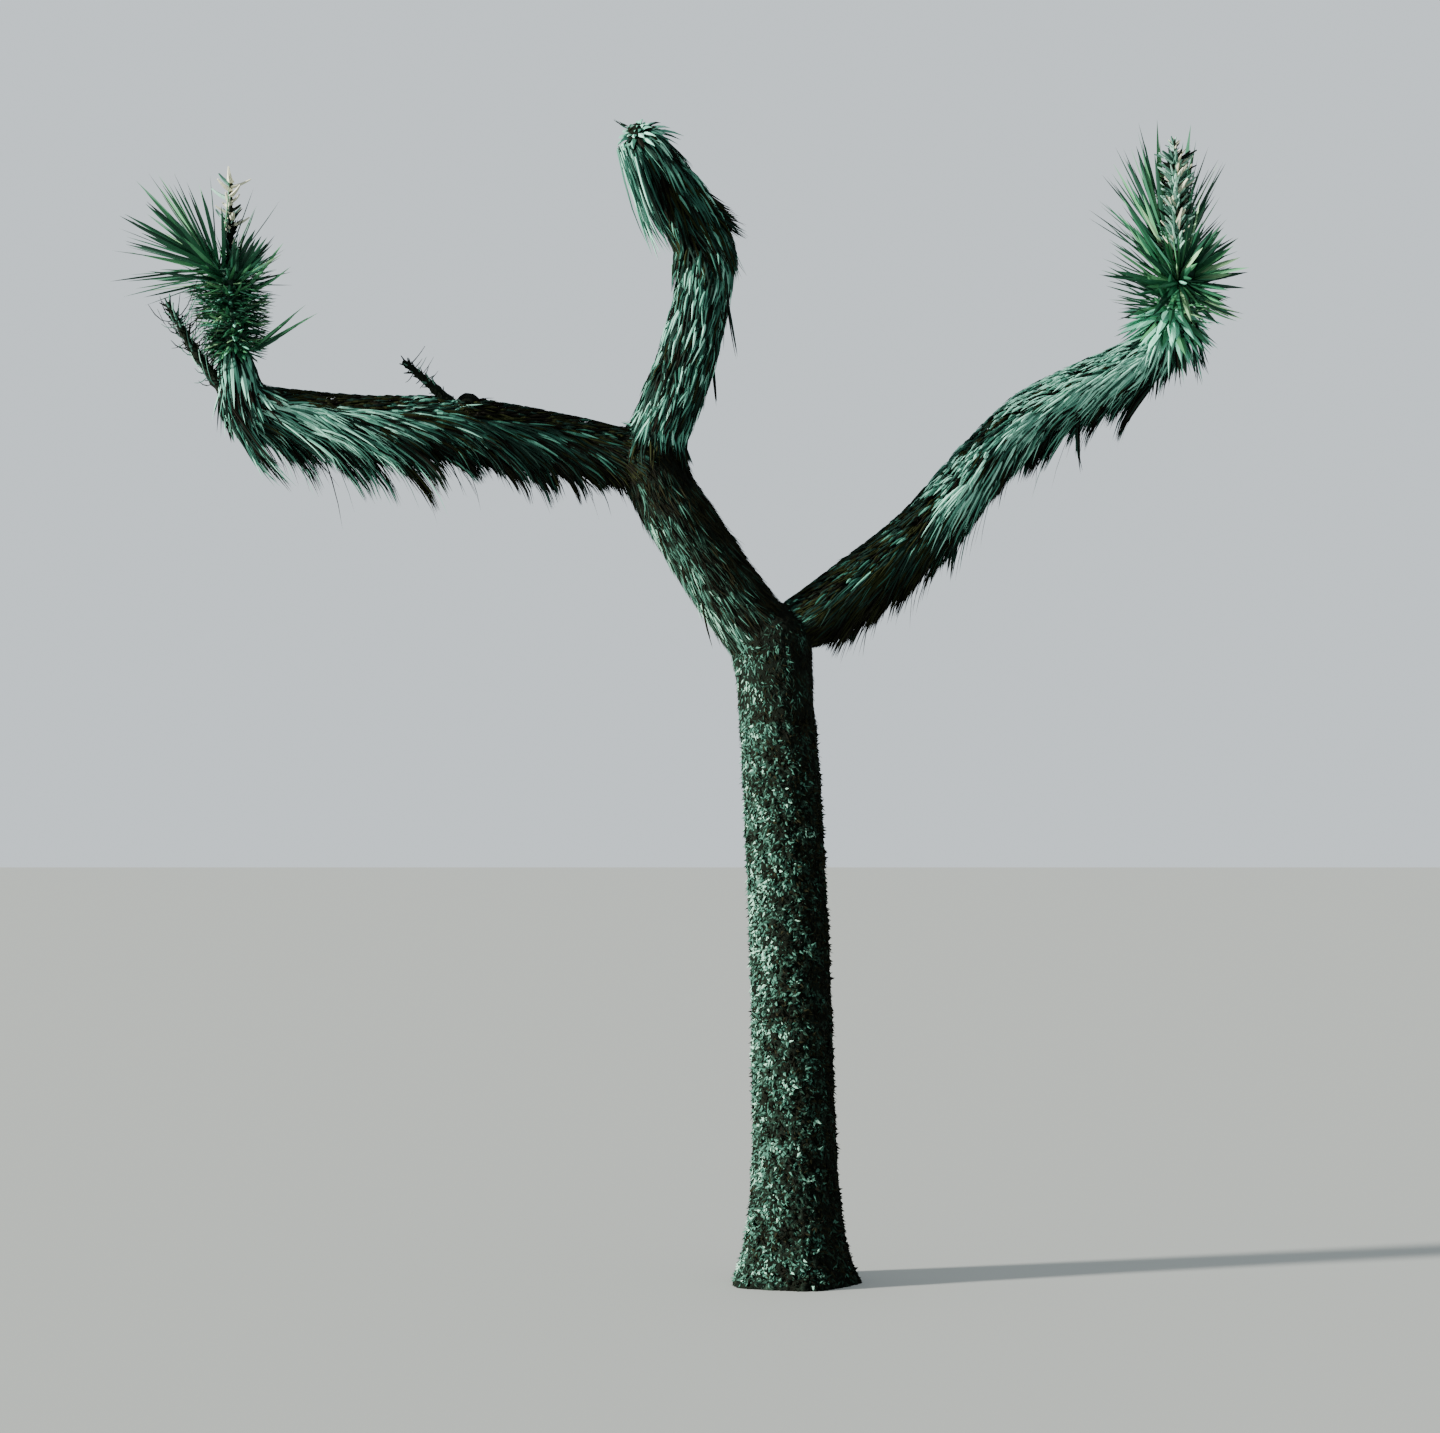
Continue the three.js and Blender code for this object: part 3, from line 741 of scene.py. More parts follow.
def skin_of(limbs, name, mesh_size):
    """One even skin round several limbs, with the way of the grain stored on it."""
    shell = bmesh.new()
    for spine, radius_at in limbs:
        limb_mesh(shell, spine, radius_at)
    mesh = bpy.data.meshes.new(name)
    shell.to_mesh(mesh)
    shell.free()
    rough = link(name + "_shell", mesh)
    remesh = rough.modifiers.new("Skin", "REMESH")
    remesh.mode = "VOXEL"
    remesh.voxel_size = mesh_size
    soften = rough.modifiers.new("Soften", "SMOOTH")
    soften.factor = SOFTEN_BY
    soften.iterations = SOFTEN_TIMES
    skin = made_plain(rough, name + "_skin")
    places = places_of(skin.data)
    ball, _ = WOOD.nearest(places)
    apart = places - WOOD.centre[ball]
    limb_shift = WOOD.limb[ball][:, None] * np.array([LIMB_SHIFT])
    grain = np.hstack([
        dot(apart, WOOD.side[ball]),
        dot(apart, WOOD.across[ball]),
        WOOD.arc[ball][:, None] + dot(apart, WOOD.along[ball]),
    ])
    layer = skin.data.attributes.new("grain", "FLOAT_VECTOR", "POINT")
    layer.data.foreach_set("vector", (grain + limb_shift).astype(np.float32).ravel())
    low_trunk = smooth((FORK[2] * MM - COARSE_BELOW_FORK - places[:, 2]) / COARSE_FADE)
    layer = skin.data.attributes.new("coarse", "FLOAT", "POINT")
    layer.data.foreach_set("value", low_trunk.astype(np.float32))
    return skin


def barked(skin, name, settings, material):
    """The skin pushed into relief, as a finished piece."""
    tree = bark_tree(name + " relief", material)
    modifier = skin.modifiers.new("Relief", "NODES")
    modifier.node_group = tree
    values = {
        "Plate Size": settings.plate_size,
        "Plate Depth": settings.plate_depth,
        "Lump Depth": settings.lump_depth,
        "Seed": settings.seed,
    }
    set_inputs(modifier, tree, values)
    piece = made_plain(skin, name)
    for label in ("grain", "coarse"):
        piece.data.attributes.remove(piece.data.attributes[label])
    piece.data.polygons.foreach_set("use_smooth", np.ones(len(piece.data.polygons), bool))
    return piece


def cut_level(piece, height=0.0):
    """Cuts a piece off level and closes the cut."""
    mesh = bmesh.new()
    mesh.from_mesh(piece.data)
    whole = mesh.verts[:] + mesh.edges[:] + mesh.faces[:]
    bmesh.ops.bisect_plane(mesh, geom=whole, plane_co=(0, 0, height), plane_no=(0, 0, -1), clear_outer=True)
    open_edges = [edge for edge in mesh.edges if edge.is_boundary]
    bmesh.ops.edgeloop_fill(mesh, edges=open_edges)
    mesh.to_mesh(piece.data)
    mesh.free()


class JOSHUA_OT_bark(bpy.types.Operator):
    """Grows the bark of the trunk, the lower limb and the cores of the arms"""

    bl_idname = "joshua.bark"
    bl_label = "Bark"

    def execute(self, context):
        settings = context.scene.joshua_wood
        material = bark_material("Bark", *BARK_COLOURS)
        # Darker bark under the leaves, painted shade
        under = bark_material("Bark under leaves", *SHADED_HIDDEN_BARK_COLOURS)
        stem = [(TRUNK, trunk_radius), (BOUGHS["lower_limb"][0], bough_radius("lower_limb"))]
        forked = ("left_arm", "middle_arm_lower", "right_arm_lower")
        stem += [(root_of(name), bough_radius(name)) for name in forked]
        trunk = barked(skin_of(stem, "trunk_bark", settings.mesh_size), "trunk_bark", settings, material)
        cut_level(trunk)
        finish(trunk, "bark", "trunk", "lower_limb")
        arms = [name for name in BOUGHS if name != "lower_limb"]
        cores = [(BOUGHS[name][0], bough_radius(name)) for name in arms] + [(HUMP, hump_radius)]
        skin = skin_of(cores, "arm_bark", settings.hidden_mesh_size)
        finish(barked(skin, "arm_bark", settings, under), "bark", *arms)
        return {"FINISHED"}


def root_of(name, length=0.14, places=4):
    """The first stretch of a bough, in metres, which shows its bark."""
    spine = BOUGHS[name][0]
    centre, _, _, _ = spine.at(np.linspace(0, length / spine.length, places))
    return Spine(centre / MM)


def finish(piece, slot, *nodes):
    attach(piece, "root")
    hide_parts(*nodes)
    return piece


# Dead leaves that lie back along the arms

# Each sleeve of dead leaves: its bough and stretch of it, its radii, its sag underneath, how its
# leaves lie and hang, how bare its top is, their length and width as shares, how much longer they are
# underneath, how far they may reach past the sleeve's foot, over how many millimetres the sleeve
# tapers to the bark there, how strongly painted shade darkens the leaves underneath, and the tones from
# pale to dark. Those on top may take other tones: paler on the right arms, a painted highlight, and dark
# olive on the left arms, partly their own colour and partly painted shade. Up to the end of the foot the
# leaves take darker tones, painted shadow that the other boughs cast there.
# Darker tones for the painted shadow that the other boughs cast on a sleeve's foot
SHADOWED_FOOT = (0, 1, 4, 20, 32, 43)
SLEEVES = {
    # The inner half of the left arm has darker tones all along, painted shadow that its outer half and the
    # crown cast
    "left_thatch_inner": dict(
        bough="left_arm", reach=(0.03, 0.5), radii=(66, 74), sag=16, lay=0.26, droop=0.62, bare=0.34,
        share=0.48, wide=1.0, fringe=0.8, room=60, taper=200, shade=0.2, seed=21,
        tones=(0, 2, 11, 34, 14, 39), top_shading_tones=(0, 0, 1, 12, 37, 50),
        foot_shadow_end=0.2, foot_shadow_tones=SHADOWED_FOOT,
    ),
    "left_thatch_outer": dict(
        bough="left_arm", reach=(0.502, 1.0), radii=(72, 60), sag=16, lay=0.26, droop=0.52, bare=0.3,
        share=0.56, wide=1.05, fringe=0.7, room=400, taper=0, shade=0.12, seed=22,
        tones=(26, 18, 11, 12, 5, 28), top_shading_tones=(0, 0, 2, 12, 46, 40),
        foot_shadow_end=0.68, foot_shadow_tones=(4, 9, 12, 25, 21, 29),
    ),
    "left_neck_thatch": dict(
        bough="left_neck", reach=(0.12, 1.0), radii=(58, 54), sag=0, lay=0.3, droop=0.2, bare=0.0,
        share=0.62, wide=1.3, fringe=0.0, room=400, taper=0, shade=0.15, seed=23,
        tones=(13, 12, 12, 16, 2, 45),
    ),
    "middle_thatch_lower": dict(
        bough="middle_arm_lower", reach=(0.08, 1.0), radii=(82, 76), sag=0, lay=0.14, droop=0.15, bare=0.0,
        share=0.46, wide=0.95, fringe=0.0, room=50, taper=0, shade=0.15, seed=24,
        tones=(4, 9, 16, 28, 5, 38), foot_shadow_end=0.14, foot_shadow_tones=SHADOWED_FOOT,
    ),
    "middle_thatch_upper": dict(
        bough="middle_arm_upper", reach=(0.0, 1.0), radii=(88, 62), sag=12, lay=0.16, droop=0.3, bare=0.0,
        share=0.52, wide=1.0, fringe=0.3, room=400, taper=0, shade=0.15, seed=25,
        tones=(1, 6, 14, 25, 24, 30),
    ),
    "right_thatch_lower": dict(
        bough="right_arm_lower", reach=(0.06, 1.0), radii=(76, 80), sag=8, lay=0.22, droop=0.6, bare=0.36,
        share=0.66, wide=1.0, fringe=0.6, room=5, taper=260, shade=0.38, seed=26,
        tones=(24, 16, 12, 12, 6, 30), top_shading_tones=(32, 20, 14, 12, 8, 14),
        foot_shadow_end=0.74, foot_shadow_tones=SHADOWED_FOOT,
    ),
    "right_thatch_upper": dict(
        bough="right_arm_upper", reach=(0.0, 1.0), radii=(76, 70), sag=8, lay=0.22, droop=0.6, bare=0.33,
        share=0.66, wide=1.0, fringe=0.6, room=400, taper=0, shade=0.36, seed=27,
        tones=(28, 17, 11, 11, 4, 29), top_shading_tones=(42, 22, 10, 12, 4, 10),
        foot_shadow_end=0.15, foot_shadow_tones=(3, 7, 10, 26, 19, 35),
    ),
    "right_neck_thatch": dict(
        bough="right_neck", reach=(0.2, 0.9), radii=(62, 60), sag=0, lay=0.5, droop=0.9, bare=0.0,
        share=0.66, wide=1.2, fringe=0.5, room=400, taper=0, shade=0.4, seed=28,
        tones=(22, 16, 14, 14, 0, 34),
    ),
}


def bunch(at, to, count, scatter, tones):
    """Loose leaves from one place to another: how many, how wide they scatter at each end, and tones."""
    return dict(at=at, to=to, count=count, scatter=scatter, tones=tones)


BUNDLES = {
    "left_neck_thatch": [
        bunch((-1436, -380, 2296), (-1276, -384, 2068), 26, (26, 20), (4, 10, 20, 38, 4, 24)),
        bunch((-1446, -376, 2290), (-1318, -366, 2084), 22, (24, 20), (8, 18, 24, 30, 2, 18)),
        bunch((-1440, -372, 2280), (-1356, -366, 2104), 18, (24, 24), (8, 18, 24, 30, 2, 18)),
    ],
    "middle_thatch_upper": [
        bunch((-446, -104, 2990), (-354, -92, 2704), 46, (20, 26), (26, 30, 24, 14, 0, 6)),
        bunch((-424, -112, 2968), (-312, -110, 2696), 46, (22, 32), (12, 22, 24, 28, 2, 12)),
        bunch((-440, -90, 3050), (-478, -92, 3071), 3, (5, 3), (0, 0, 1, 1, 0, 2)),
        bunch((-292, -4, 2912), (-140, 2, 2806), 90, (30, 26), (0, 1, 7, 27, 30, 35)),
        bunch((-256, -6, 2884), (-126, 2, 2770), 90, (28, 22), (0, 1, 7, 27, 30, 35)),
    ],
    "middle_thatch_lower": [
        bunch((-174, -20, 2584), (-146, -24, 2420), 2, (4, 4), (0, 0, 1, 3, 3, 3)),
        bunch((-214, -20, 2414), (-203, -24, 2316), 3, (6, 6), (0, 0, 1, 3, 3, 3)),
    ],
    "right_thatch_lower": [
        bunch((442, 168, 2050), (416, 160, 1858), 24, (24, 14), (0, 2, 8, 34, 24, 32)),
        bunch((238, 92, 1856), (227, 86, 1758), 16, (24, 14), (0, 1, 4, 24, 32, 39)),
        bunch((152, 60, 1796), (150, 56, 1694), 16, (24, 16), (0, 1, 4, 24, 32, 39)),
    ],
    "right_thatch_upper": [
        bunch((726, 280, 2312), (636, 268, 2168), 12, (20, 16), (0, 2, 10, 34, 22, 32)),
        bunch((776, 282, 2306), (778, 270, 2166), 12, (16, 14), (0, 2, 10, 34, 22, 32)),
    ],
    "right_neck_thatch": [
        bunch((1052, 350, 2560), (1054, 330, 2396), 20, (22, 28), (0, 6, 16, 34, 10, 34)),
        bunch((1092, 360, 2570), (1128, 344, 2414), 22, (24, 30), (0, 6, 16, 34, 10, 34)),
        bunch((1000, 350, 2490), (975, 330, 2376), 18, (24, 30), (0, 6, 16, 34, 10, 34)),
    ],
}

# The points of a blade's centre line, and how far along it each is
BLADE_POINTS = 5
BLADE_SHARE = np.linspace(0, 1, BLADE_POINTS)[None, :, None]

# A blade's width at each of its points, as a share of its widest
DEAD_PROFILE = np.array([0.7, 1.0, 0.92, 0.62, 0.0])
LIVING_PROFILE = np.array([1.0, 1.0, 0.95, 0.72, 0.0])
STEM_PROFILE = np.array([1.0, 0.85, 0.7, 0.55, 0.3])
SCALE_PROFILE = np.array([1.0, 0.0])

# Dead leaves gather in locks and tufts of about so many. Some places on top are bare, some leaves hang
# free and some are short, and some locks stand proud in the fringe: longer, lower and drawn together.
LOCK_SIZE = 14
TUFT_SIZE = 60
BARE_SHARE = 0.4
FREE_SHARE = 0.05
SHORT_SHARE = 0.25
PROUD_SHARE = 0.3
PROUD_HANG = 0.3
PROUD_LENGTH = 0.7
PROUD_PULL = 0.5
PROUD_FREEDOM = 0.6

# Ranges of a dead leaf's length as shares: short leaves, those on top and those in the fringe. Leaves at
# the sleeve's foot are shorter too, and none is shorter than the least length, in metres.
SHORT_RANGE = (0.35, 0.8)
TOP_RANGE = (0.3, 0.5)
FRINGE_RANGE = (-0.6, 1.2)
FOOT_LENGTH = 0.6
LEAST_LENGTH = 0.02

# How a dead leaf stands: it hangs where its way out from the bough lies below this level, it rises from
# the bark by a least lift, and it turns sideways with its lock and by itself. Its way back along the
# bough counts as at least so much of its length.
HANG_BELOW = 0.6
LEAST_LIFT = 0.18
LOCK_TURN = 0.18
LEAF_TURN = 0.13
LEAST_BACK = 0.3

# How leaves lie in layers. Depth, gap and the start of the taper are millimetres, the rest are shares:
# of a leaf's own height for its root and its first point, of the sleeve's depth for the others.
ROOT_DEPTH = 3
BARK_GAP = 2
TAPER_START = 5
ROOT_HEIGHT = 0.4
FIRST_REST = 0.5
TOP_LAYERS = (0.5, 0.8)
FOOT_HEIGHT = 0.15
LAYER_BY_LOCK = 0.25

# How closely leaves keep to the bark and to each other's tips
LOWEST_HUG = 0.5
UNDER_FREEDOM = 0.75
FREE_HUG = 0.15
TUFT_PULL = 0.5
LOCK_PULL = 0.35
LINE_HANG = 0.3
TIP_PULL_POWER = 1.4

# How much of a leaf's tone comes from its layer, as painted shade that darkens the lower layers, from its
# lock and from itself
LAYER_SHADE = 0.22
TONE_BY_LOCK = 0.18
TONE_BY_LEAF = 0.45

# How much dead leaves differ from each other, as a share of each measure
SPREAD = dict(hang=0.3, lay=0.35, lock_length=0.15, length=0.12, room=0.9, pull=0.2, width=0.25)

# Widths from the lowest layer to the top one and of free leaves, and how ragged the edge of the painted
# shadow at the foot is
LAYER_WIDTH = (0.85, 1.25)
FREE_WIDTH = 0.65
FOOT_SHADOW_BLUR = 0.03

# How far leaves on a spiral stray round it, in radians
DEAD_JITTER = 0.4
LIVING_JITTER = 0.3
STEM_JITTER = 0.5

# How far a blade may turn about its line at its tip, in radians, and the share of that at its foot
FOOT_TURN = 0.3
DEAD_TURN = 0.9
LIVING_TURN = 0.5
SCALE_TURN = 1.0
BUNDLE_TURN = 1.5

# How thick blades are, as a share of their width
DEAD_THICKNESS = 0.45
SCALE_THICKNESS = 0.35
LOOSE_THICKNESS = 0.22
LIVING_THICKNESS = 0.3
STEM_THICKNESS = 0.7

# Leaves in a bundle: how far along it they reach, their sag as a share of their length, and how much
# they differ in sag and width. Each sleeve and each crown has so many seeds for its bundles.
BUNDLE_REACH = (0.6, 1.0)
DEAD_SAG = 0.06
BUNDLE_SAG_SPREAD = 1.0
BUNDLE_WIDTH_SPREAD = 0.3
BUNDLE_SEEDS = 10

# The leaf bases round the tip of the dead head. They stand in a spiral from the tip to its sides, on a
# ball of a share of the bough's radius, and curl back, more so at the sides. Lengths are in
# millimetres, angles in radians.
TIP_BASES = dict(
    bough="middle_arm_upper", count=80, widest=1.75, crowding=0.7, ball=0.8, sunk=12, lengths=(24, 60),
    width=17, length_spread=0.3, width_spread=0.25, curl=0.35, more_curl=0.5, turn=0.6,
    tones=(40, 24, 12, 8, 2, 14), seed=41,
)


def evenly(count):
    """Shares from 0 to 1, each in the middle of its step."""
    return (np.arange(count) + 0.5) / count


def spiral(spine, t, rng, jitter):
    """Ways out from a spine, each a golden angle on from the one before."""
    count = len(t)
    return spine.outward(t, np.arange(count) * GOLDEN_ANGLE + rng.random(count) * jitter)


def upright(along, heading):
    """A facing for every point of each blade, along the stem and square to the blade's heading."""
    return np.repeat(unit(along - heading * dot(along, heading))[:, None], BLADE_POINTS, 1)


def dealt(rank, shares):
    """A tone number for each blade by its rank from pale to dark, with each tone's true share."""
    order = (rank.argsort().argsort() + 0.5) / len(rank)
    limits = np.cumsum(np.array(shares) / np.sum(shares))
    return np.minimum(np.searchsorted(limits, order), len(limits) - 1)


def blotches(places, size):
    """A random value from 0 to 1 that neighbouring places share."""
    return np.array([0.5 + 0.5 * noise.noise(place / size) for place in places])


def laid_lines(roots, headings, lengths, hang, height, hugging, follow=0.3, points=BLADE_POINTS):
    """Centre lines of leaves that lie on the bark and the leaves below, and then hang free."""
    place = roots.copy()
    heading = headings.copy()
    lines = [place.copy()]
    facings = []
    for step in range(1, points):
        share = step / (points - 1)
        heading = unit(heading - UP * (hang * share)[:, None])
        _, out, ball = WOOD.gap(place)
        close = (hugging * (1 - share**2))[:, None]
        heading = unit(heading - WOOD.along[ball] * follow * close)
        away = dot(heading, out)
        heading = unit(heading - out * away * np.where(away < 0, 1.0, close))
        facings.append(out)
        place = place + heading * (lengths / (points - 1))[:, None]
        gap, out, _ = WOOD.gap(place)
        rest = height[:, None] * min(1.0, FIRST_REST + share)
        lift = np.maximum(0, rest - gap)
        sink = close * np.maximum(0, gap - rest)
        place = place + out * (lift - sink)
        lines.append(place.copy())
    facings.append(facings[-1])
    return np.stack(lines, 1), np.stack(facings, 1)


def locks_of(roots, rng, leaves):
    """Which lock each leaf belongs to, by its nearest leader, with about so many leaves in each."""
    leaders = roots[rng.choice(len(roots), max(1, len(roots) // leaves), replace=False)]
    return Wood.squares(roots, leaders).argmin(1)


def drawn(lines, lock, pull):
    """Draws the tips of each lock together."""
    count = np.maximum(1, np.bincount(lock))
    tips = lines[:, -1]
    middle = np.stack([np.bincount(lock, tips[:, i]) / count for i in range(3)], -1)
    share = np.linspace(0, 1, lines.shape[1]) ** TIP_PULL_POWER
    return lines + ((middle[lock] - tips) * pull[:, None])[:, None] * share[None, :, None]


def twisted(facings, lines, rng, most=DEAD_TURN):
    """Squares the facings to the lines, and turns each blade about its line, more towards its tip."""
    headings = unit(np.gradient(lines, axis=1))
    facings = unit(facings - dot(facings, headings) * headings)
    across = np.cross(headings, facings)
    turn = (rng.random(len(lines)) * 2 - 1)[:, None] * most * np.linspace(FOOT_TURN, 1, lines.shape[1])
    return facings * np.cos(turn)[..., None] + across * np.sin(turn)[..., None]


def sleeve_radius(sleeve, t, outward):
    low, high = sleeve["reach"]
    round_way = mix(sleeve["radii"][0], sleeve["radii"][1], (t - low) / (high - low))
    return MM * (round_way + sleeve["sag"] * np.maximum(0, -outward[:, 2]))


class DeadLeaves:
    """The dead leaves of one sleeve, in a close spiral round its bough."""

    def __init__(self, sleeve, settings):
        self.sleeve = sleeve
        self.settings = settings
        self.rng = np.random.default_rng(sleeve["seed"])
        self.spine, self.radii = BOUGHS[sleeve["bough"]]

    def place(self):
        """Roots the leaves, fewer of them on top, where the bark is bare."""
        low, high = self.sleeve["reach"]
        area = 2 * math.pi * MM * self.radii[0] * self.spine.length * (high - low)
        t = mix(low, high, evenly(int(area / self.settings.dead_spacing**2)))
        outward = spiral(self.spine, t, self.rng, DEAD_JITTER)
        is_top = outward[:, 2] > 1 - 2 * self.sleeve["bare"]
        kept = ~(is_top & (self.rng.random(len(t)) < BARE_SHARE))
        self.t = t[kept]
        self.outward = outward[kept]
        self.is_top = is_top[kept]
        self.count = len(self.t)
        self.centre, self.along, _, _ = self.spine.at(self.t)
        self.core = MM * mix(self.radii[0], self.radii[1], self.t)
        self.under = np.maximum(0, -self.outward[:, 2])
        self.past_foot = (self.t - low) * self.spine.length
        start = TAPER_START * MM
        self.from_foot = smooth((self.past_foot + start) / (self.sleeve["taper"] * MM + start))

    def gather(self):
        """Gathers the leaves in locks and tufts, and picks those that hang free or proud."""
        rng = self.rng
        tilt = np.maximum(0, HANG_BELOW - self.outward[:, 2])
        hang = self.sleeve["droop"] * tilt * uneven(rng, self.count, SPREAD["hang"]) * self.from_foot
        bark = self.centre + self.outward * self.core[:, None]
        self.lock = locks_of(bark, rng, LOCK_SIZE)
        self.locks = self.lock.max() + 1
        self.tuft = locks_of(bark, rng, TUFT_SIZE)
        self.tufts = self.tuft.max() + 1
        self.free = rng.random(self.count) < FREE_SHARE
        self.proud = (rng.random(self.locks)[self.lock] < PROUD_SHARE) * self.under
        self.hang = hang * (1 + PROUD_HANG * self.proud)

    def point(self):
        """Points each leaf back along the bough, a little out, down and aside."""
        rng = self.rng
        angle = self.sleeve["lay"] * uneven(rng, self.count, SPREAD["lay"])
        heading = -self.along * np.cos(angle)[:, None] + self.outward * np.sin(angle)[:, None]
        heading = unit(heading - UP * self.hang[:, None])
        aside = rng.normal(0, LOCK_TURN, self.locks)[self.lock] + rng.normal(0, LEAF_TURN, self.count)
        heading = unit(heading + np.cross(self.along, self.outward) * aside[:, None])
        lift = np.maximum(0, LEAST_LIFT - dot(heading, self.outward))
        self.heading = unit(heading + self.outward * lift)

    def measure(self):
        """Gives each leaf its length: longer in the fringe, and shorter on top and at the foot."""
        rng = self.rng
        fringe = self.sleeve["fringe"]
        length = self.settings.dead_length * self.sleeve["share"]
        length = length * uneven(rng, self.locks, SPREAD["lock_length"])[self.lock]
        length = length * uneven(rng, self.count, SPREAD["length"])
        length = length * mix(FOOT_LENGTH, 1.0, self.from_foot)
        by_tuft = mix(*FRINGE_RANGE, rng.random(self.tufts)[self.tuft])
        length = length * (1 + fringe * self.under * by_tuft * self.from_foot)
        length = length * (1 + PROUD_LENGTH * fringe * self.proud)
        is_short = rng.random(self.count) < SHORT_SHARE
        length = np.where(is_short, length * mix(*SHORT_RANGE, rng.random(self.count)), length)
        length = np.where(self.is_top, length * mix(*TOP_RANGE, rng.random(self.count)), length)
        back = np.maximum(LEAST_BACK, -dot(self.heading, self.along)[:, 0])
        room = self.sleeve["room"] * MM * uneven(rng, self.locks, SPREAD["room"])[self.lock]
        self.length = np.clip((self.past_foot + room) / back, LEAST_LENGTH, length)

    def lay(self):
        """Lays the leaves on each other in layers, and draws tufts and locks together."""
        rng = self.rng
        by_lock = LAYER_BY_LOCK * rng.random(self.locks)[self.lock]
        self.layer = by_lock + (1 - LAYER_BY_LOCK) * rng.random(self.count)
        depth = sleeve_radius(self.sleeve, self.t, self.outward) - self.core
        layer = np.where(self.is_top, mix(*TOP_LAYERS, self.layer), self.layer)
        height = BARK_GAP * MM + depth * layer * mix(FOOT_HEIGHT, 1.0, self.from_foot)
        root_height = self.core + height * ROOT_HEIGHT - ROOT_DEPTH * MM
        roots = self.centre + self.outward * root_height[:, None]
        hugging = mix(LOWEST_HUG, 1.0, rng.random(self.count)) * (1 - UNDER_FREEDOM * self.under)
        hugging = np.where(self.is_top, 1.0, hugging)
        hugging = np.where(self.free, FREE_HUG, 1 - PROUD_FREEDOM * self.proud) * hugging
        lines, facings = laid_lines(roots, self.heading, self.length, self.hang * LINE_HANG, height, hugging)
        pull = TUFT_PULL * self.under * uneven(rng, self.count, SPREAD["pull"])
        lines = drawn(lines, self.tuft, np.where(self.free, 0.0, pull))
        pull = mix(0.0, LOCK_PULL, rng.random(self.count)) + PROUD_PULL * self.proud
        lines = drawn(lines, self.lock, np.where(self.free | self.is_top, 0.0, pull))
        return lines, twisted(facings, lines, rng)

    def widths(self):
        """Wider leaves lie in the outer layers, and the free ones are narrow."""
        width = self.settings.dead_width * self.sleeve["wide"] * mix(*LAYER_WIDTH, self.layer)
        width = width * uneven(self.rng, self.count, SPREAD["width"])
        return (width * np.where(self.free, FREE_WIDTH, 1.0))[:, None] * DEAD_PROFILE

    def tones(self):
        """Painted shade: darker leaves lie in the lower layers and on the underside, and a painted shadow
        darkens the foot; paler ones lie in the outer layers.
        """
        rng = self.rng
        rank = LAYER_SHADE * (1 - self.layer) + TONE_BY_LOCK * rng.random(self.locks)[self.lock]
        rank = rank + TONE_BY_LEAF * rng.random(self.count) + self.sleeve["shade"] * self.under
        tones = dealt(rank, self.sleeve["tones"])
        # Painted light and shade on top: paler on the right arms, darker on the left arms
        if "top_shading_tones" in self.sleeve:
            tones[self.is_top] = dealt(rank[self.is_top], self.sleeve["top_shading_tones"])
        # Painted shadow: the leaves up to the foot's end take the darker tones
        if "foot_shadow_tones" in self.sleeve:
            in_foot_shadow = self.t < self.sleeve["foot_shadow_end"] + rng.normal(0, FOOT_SHADOW_BLUR, self.count)
            tones[in_foot_shadow] = dealt(rank[in_foot_shadow], self.sleeve["foot_shadow_tones"])
        return tones

    def grow(self, blades):
        self.place()
        self.gather()
        self.point()
        self.measure()
        lines, facings = self.lay()
        widths = self.widths()
        blades.add(lines, widths, facings, self.tones())


def scattered(rng, count):
    """Random places in a ball of radius 1."""
    return unit(rng.normal(size=(count, 3))) * rng.random((count, 1)) ** (1 / 3)


def bundle(blades, spec, width, seed, profile=DEAD_PROFILE, sag=DEAD_SAG):
    """Loose leaves that run together from one place towards another."""
    rng = np.random.default_rng(seed)
    count = spec["count"]
    root_scatter, tip_scatter = spec["scatter"]
    root = MM * (np.array(spec["at"], float) + root_scatter * scattered(rng, count))
    tip = MM * (np.array(spec["to"], float) + tip_scatter * scattered(rng, count))
    tip = root + (tip - root) * mix(*BUNDLE_REACH, rng.random((count, 1)))
    lines = root[:, None] + (tip - root)[:, None] * BLADE_SHARE
    sagging = UP * np.linalg.norm(tip - root, axis=1)[:, None, None] * sag
    sagging = sagging * np.sin(BLADE_SHARE * math.pi)
    lines = lines - sagging * uneven(rng, count, BUNDLE_SAG_SPREAD)[:, None, None]
    facings = twisted(np.tile(-SIDEWAYS, (count, BLADE_POINTS, 1)), lines, rng, BUNDLE_TURN)
    widths = (width * uneven(rng, count, BUNDLE_WIDTH_SPREAD))[:, None] * profile
    blades.add(lines, widths, facings, dealt(rng.random(count), spec["tones"]))


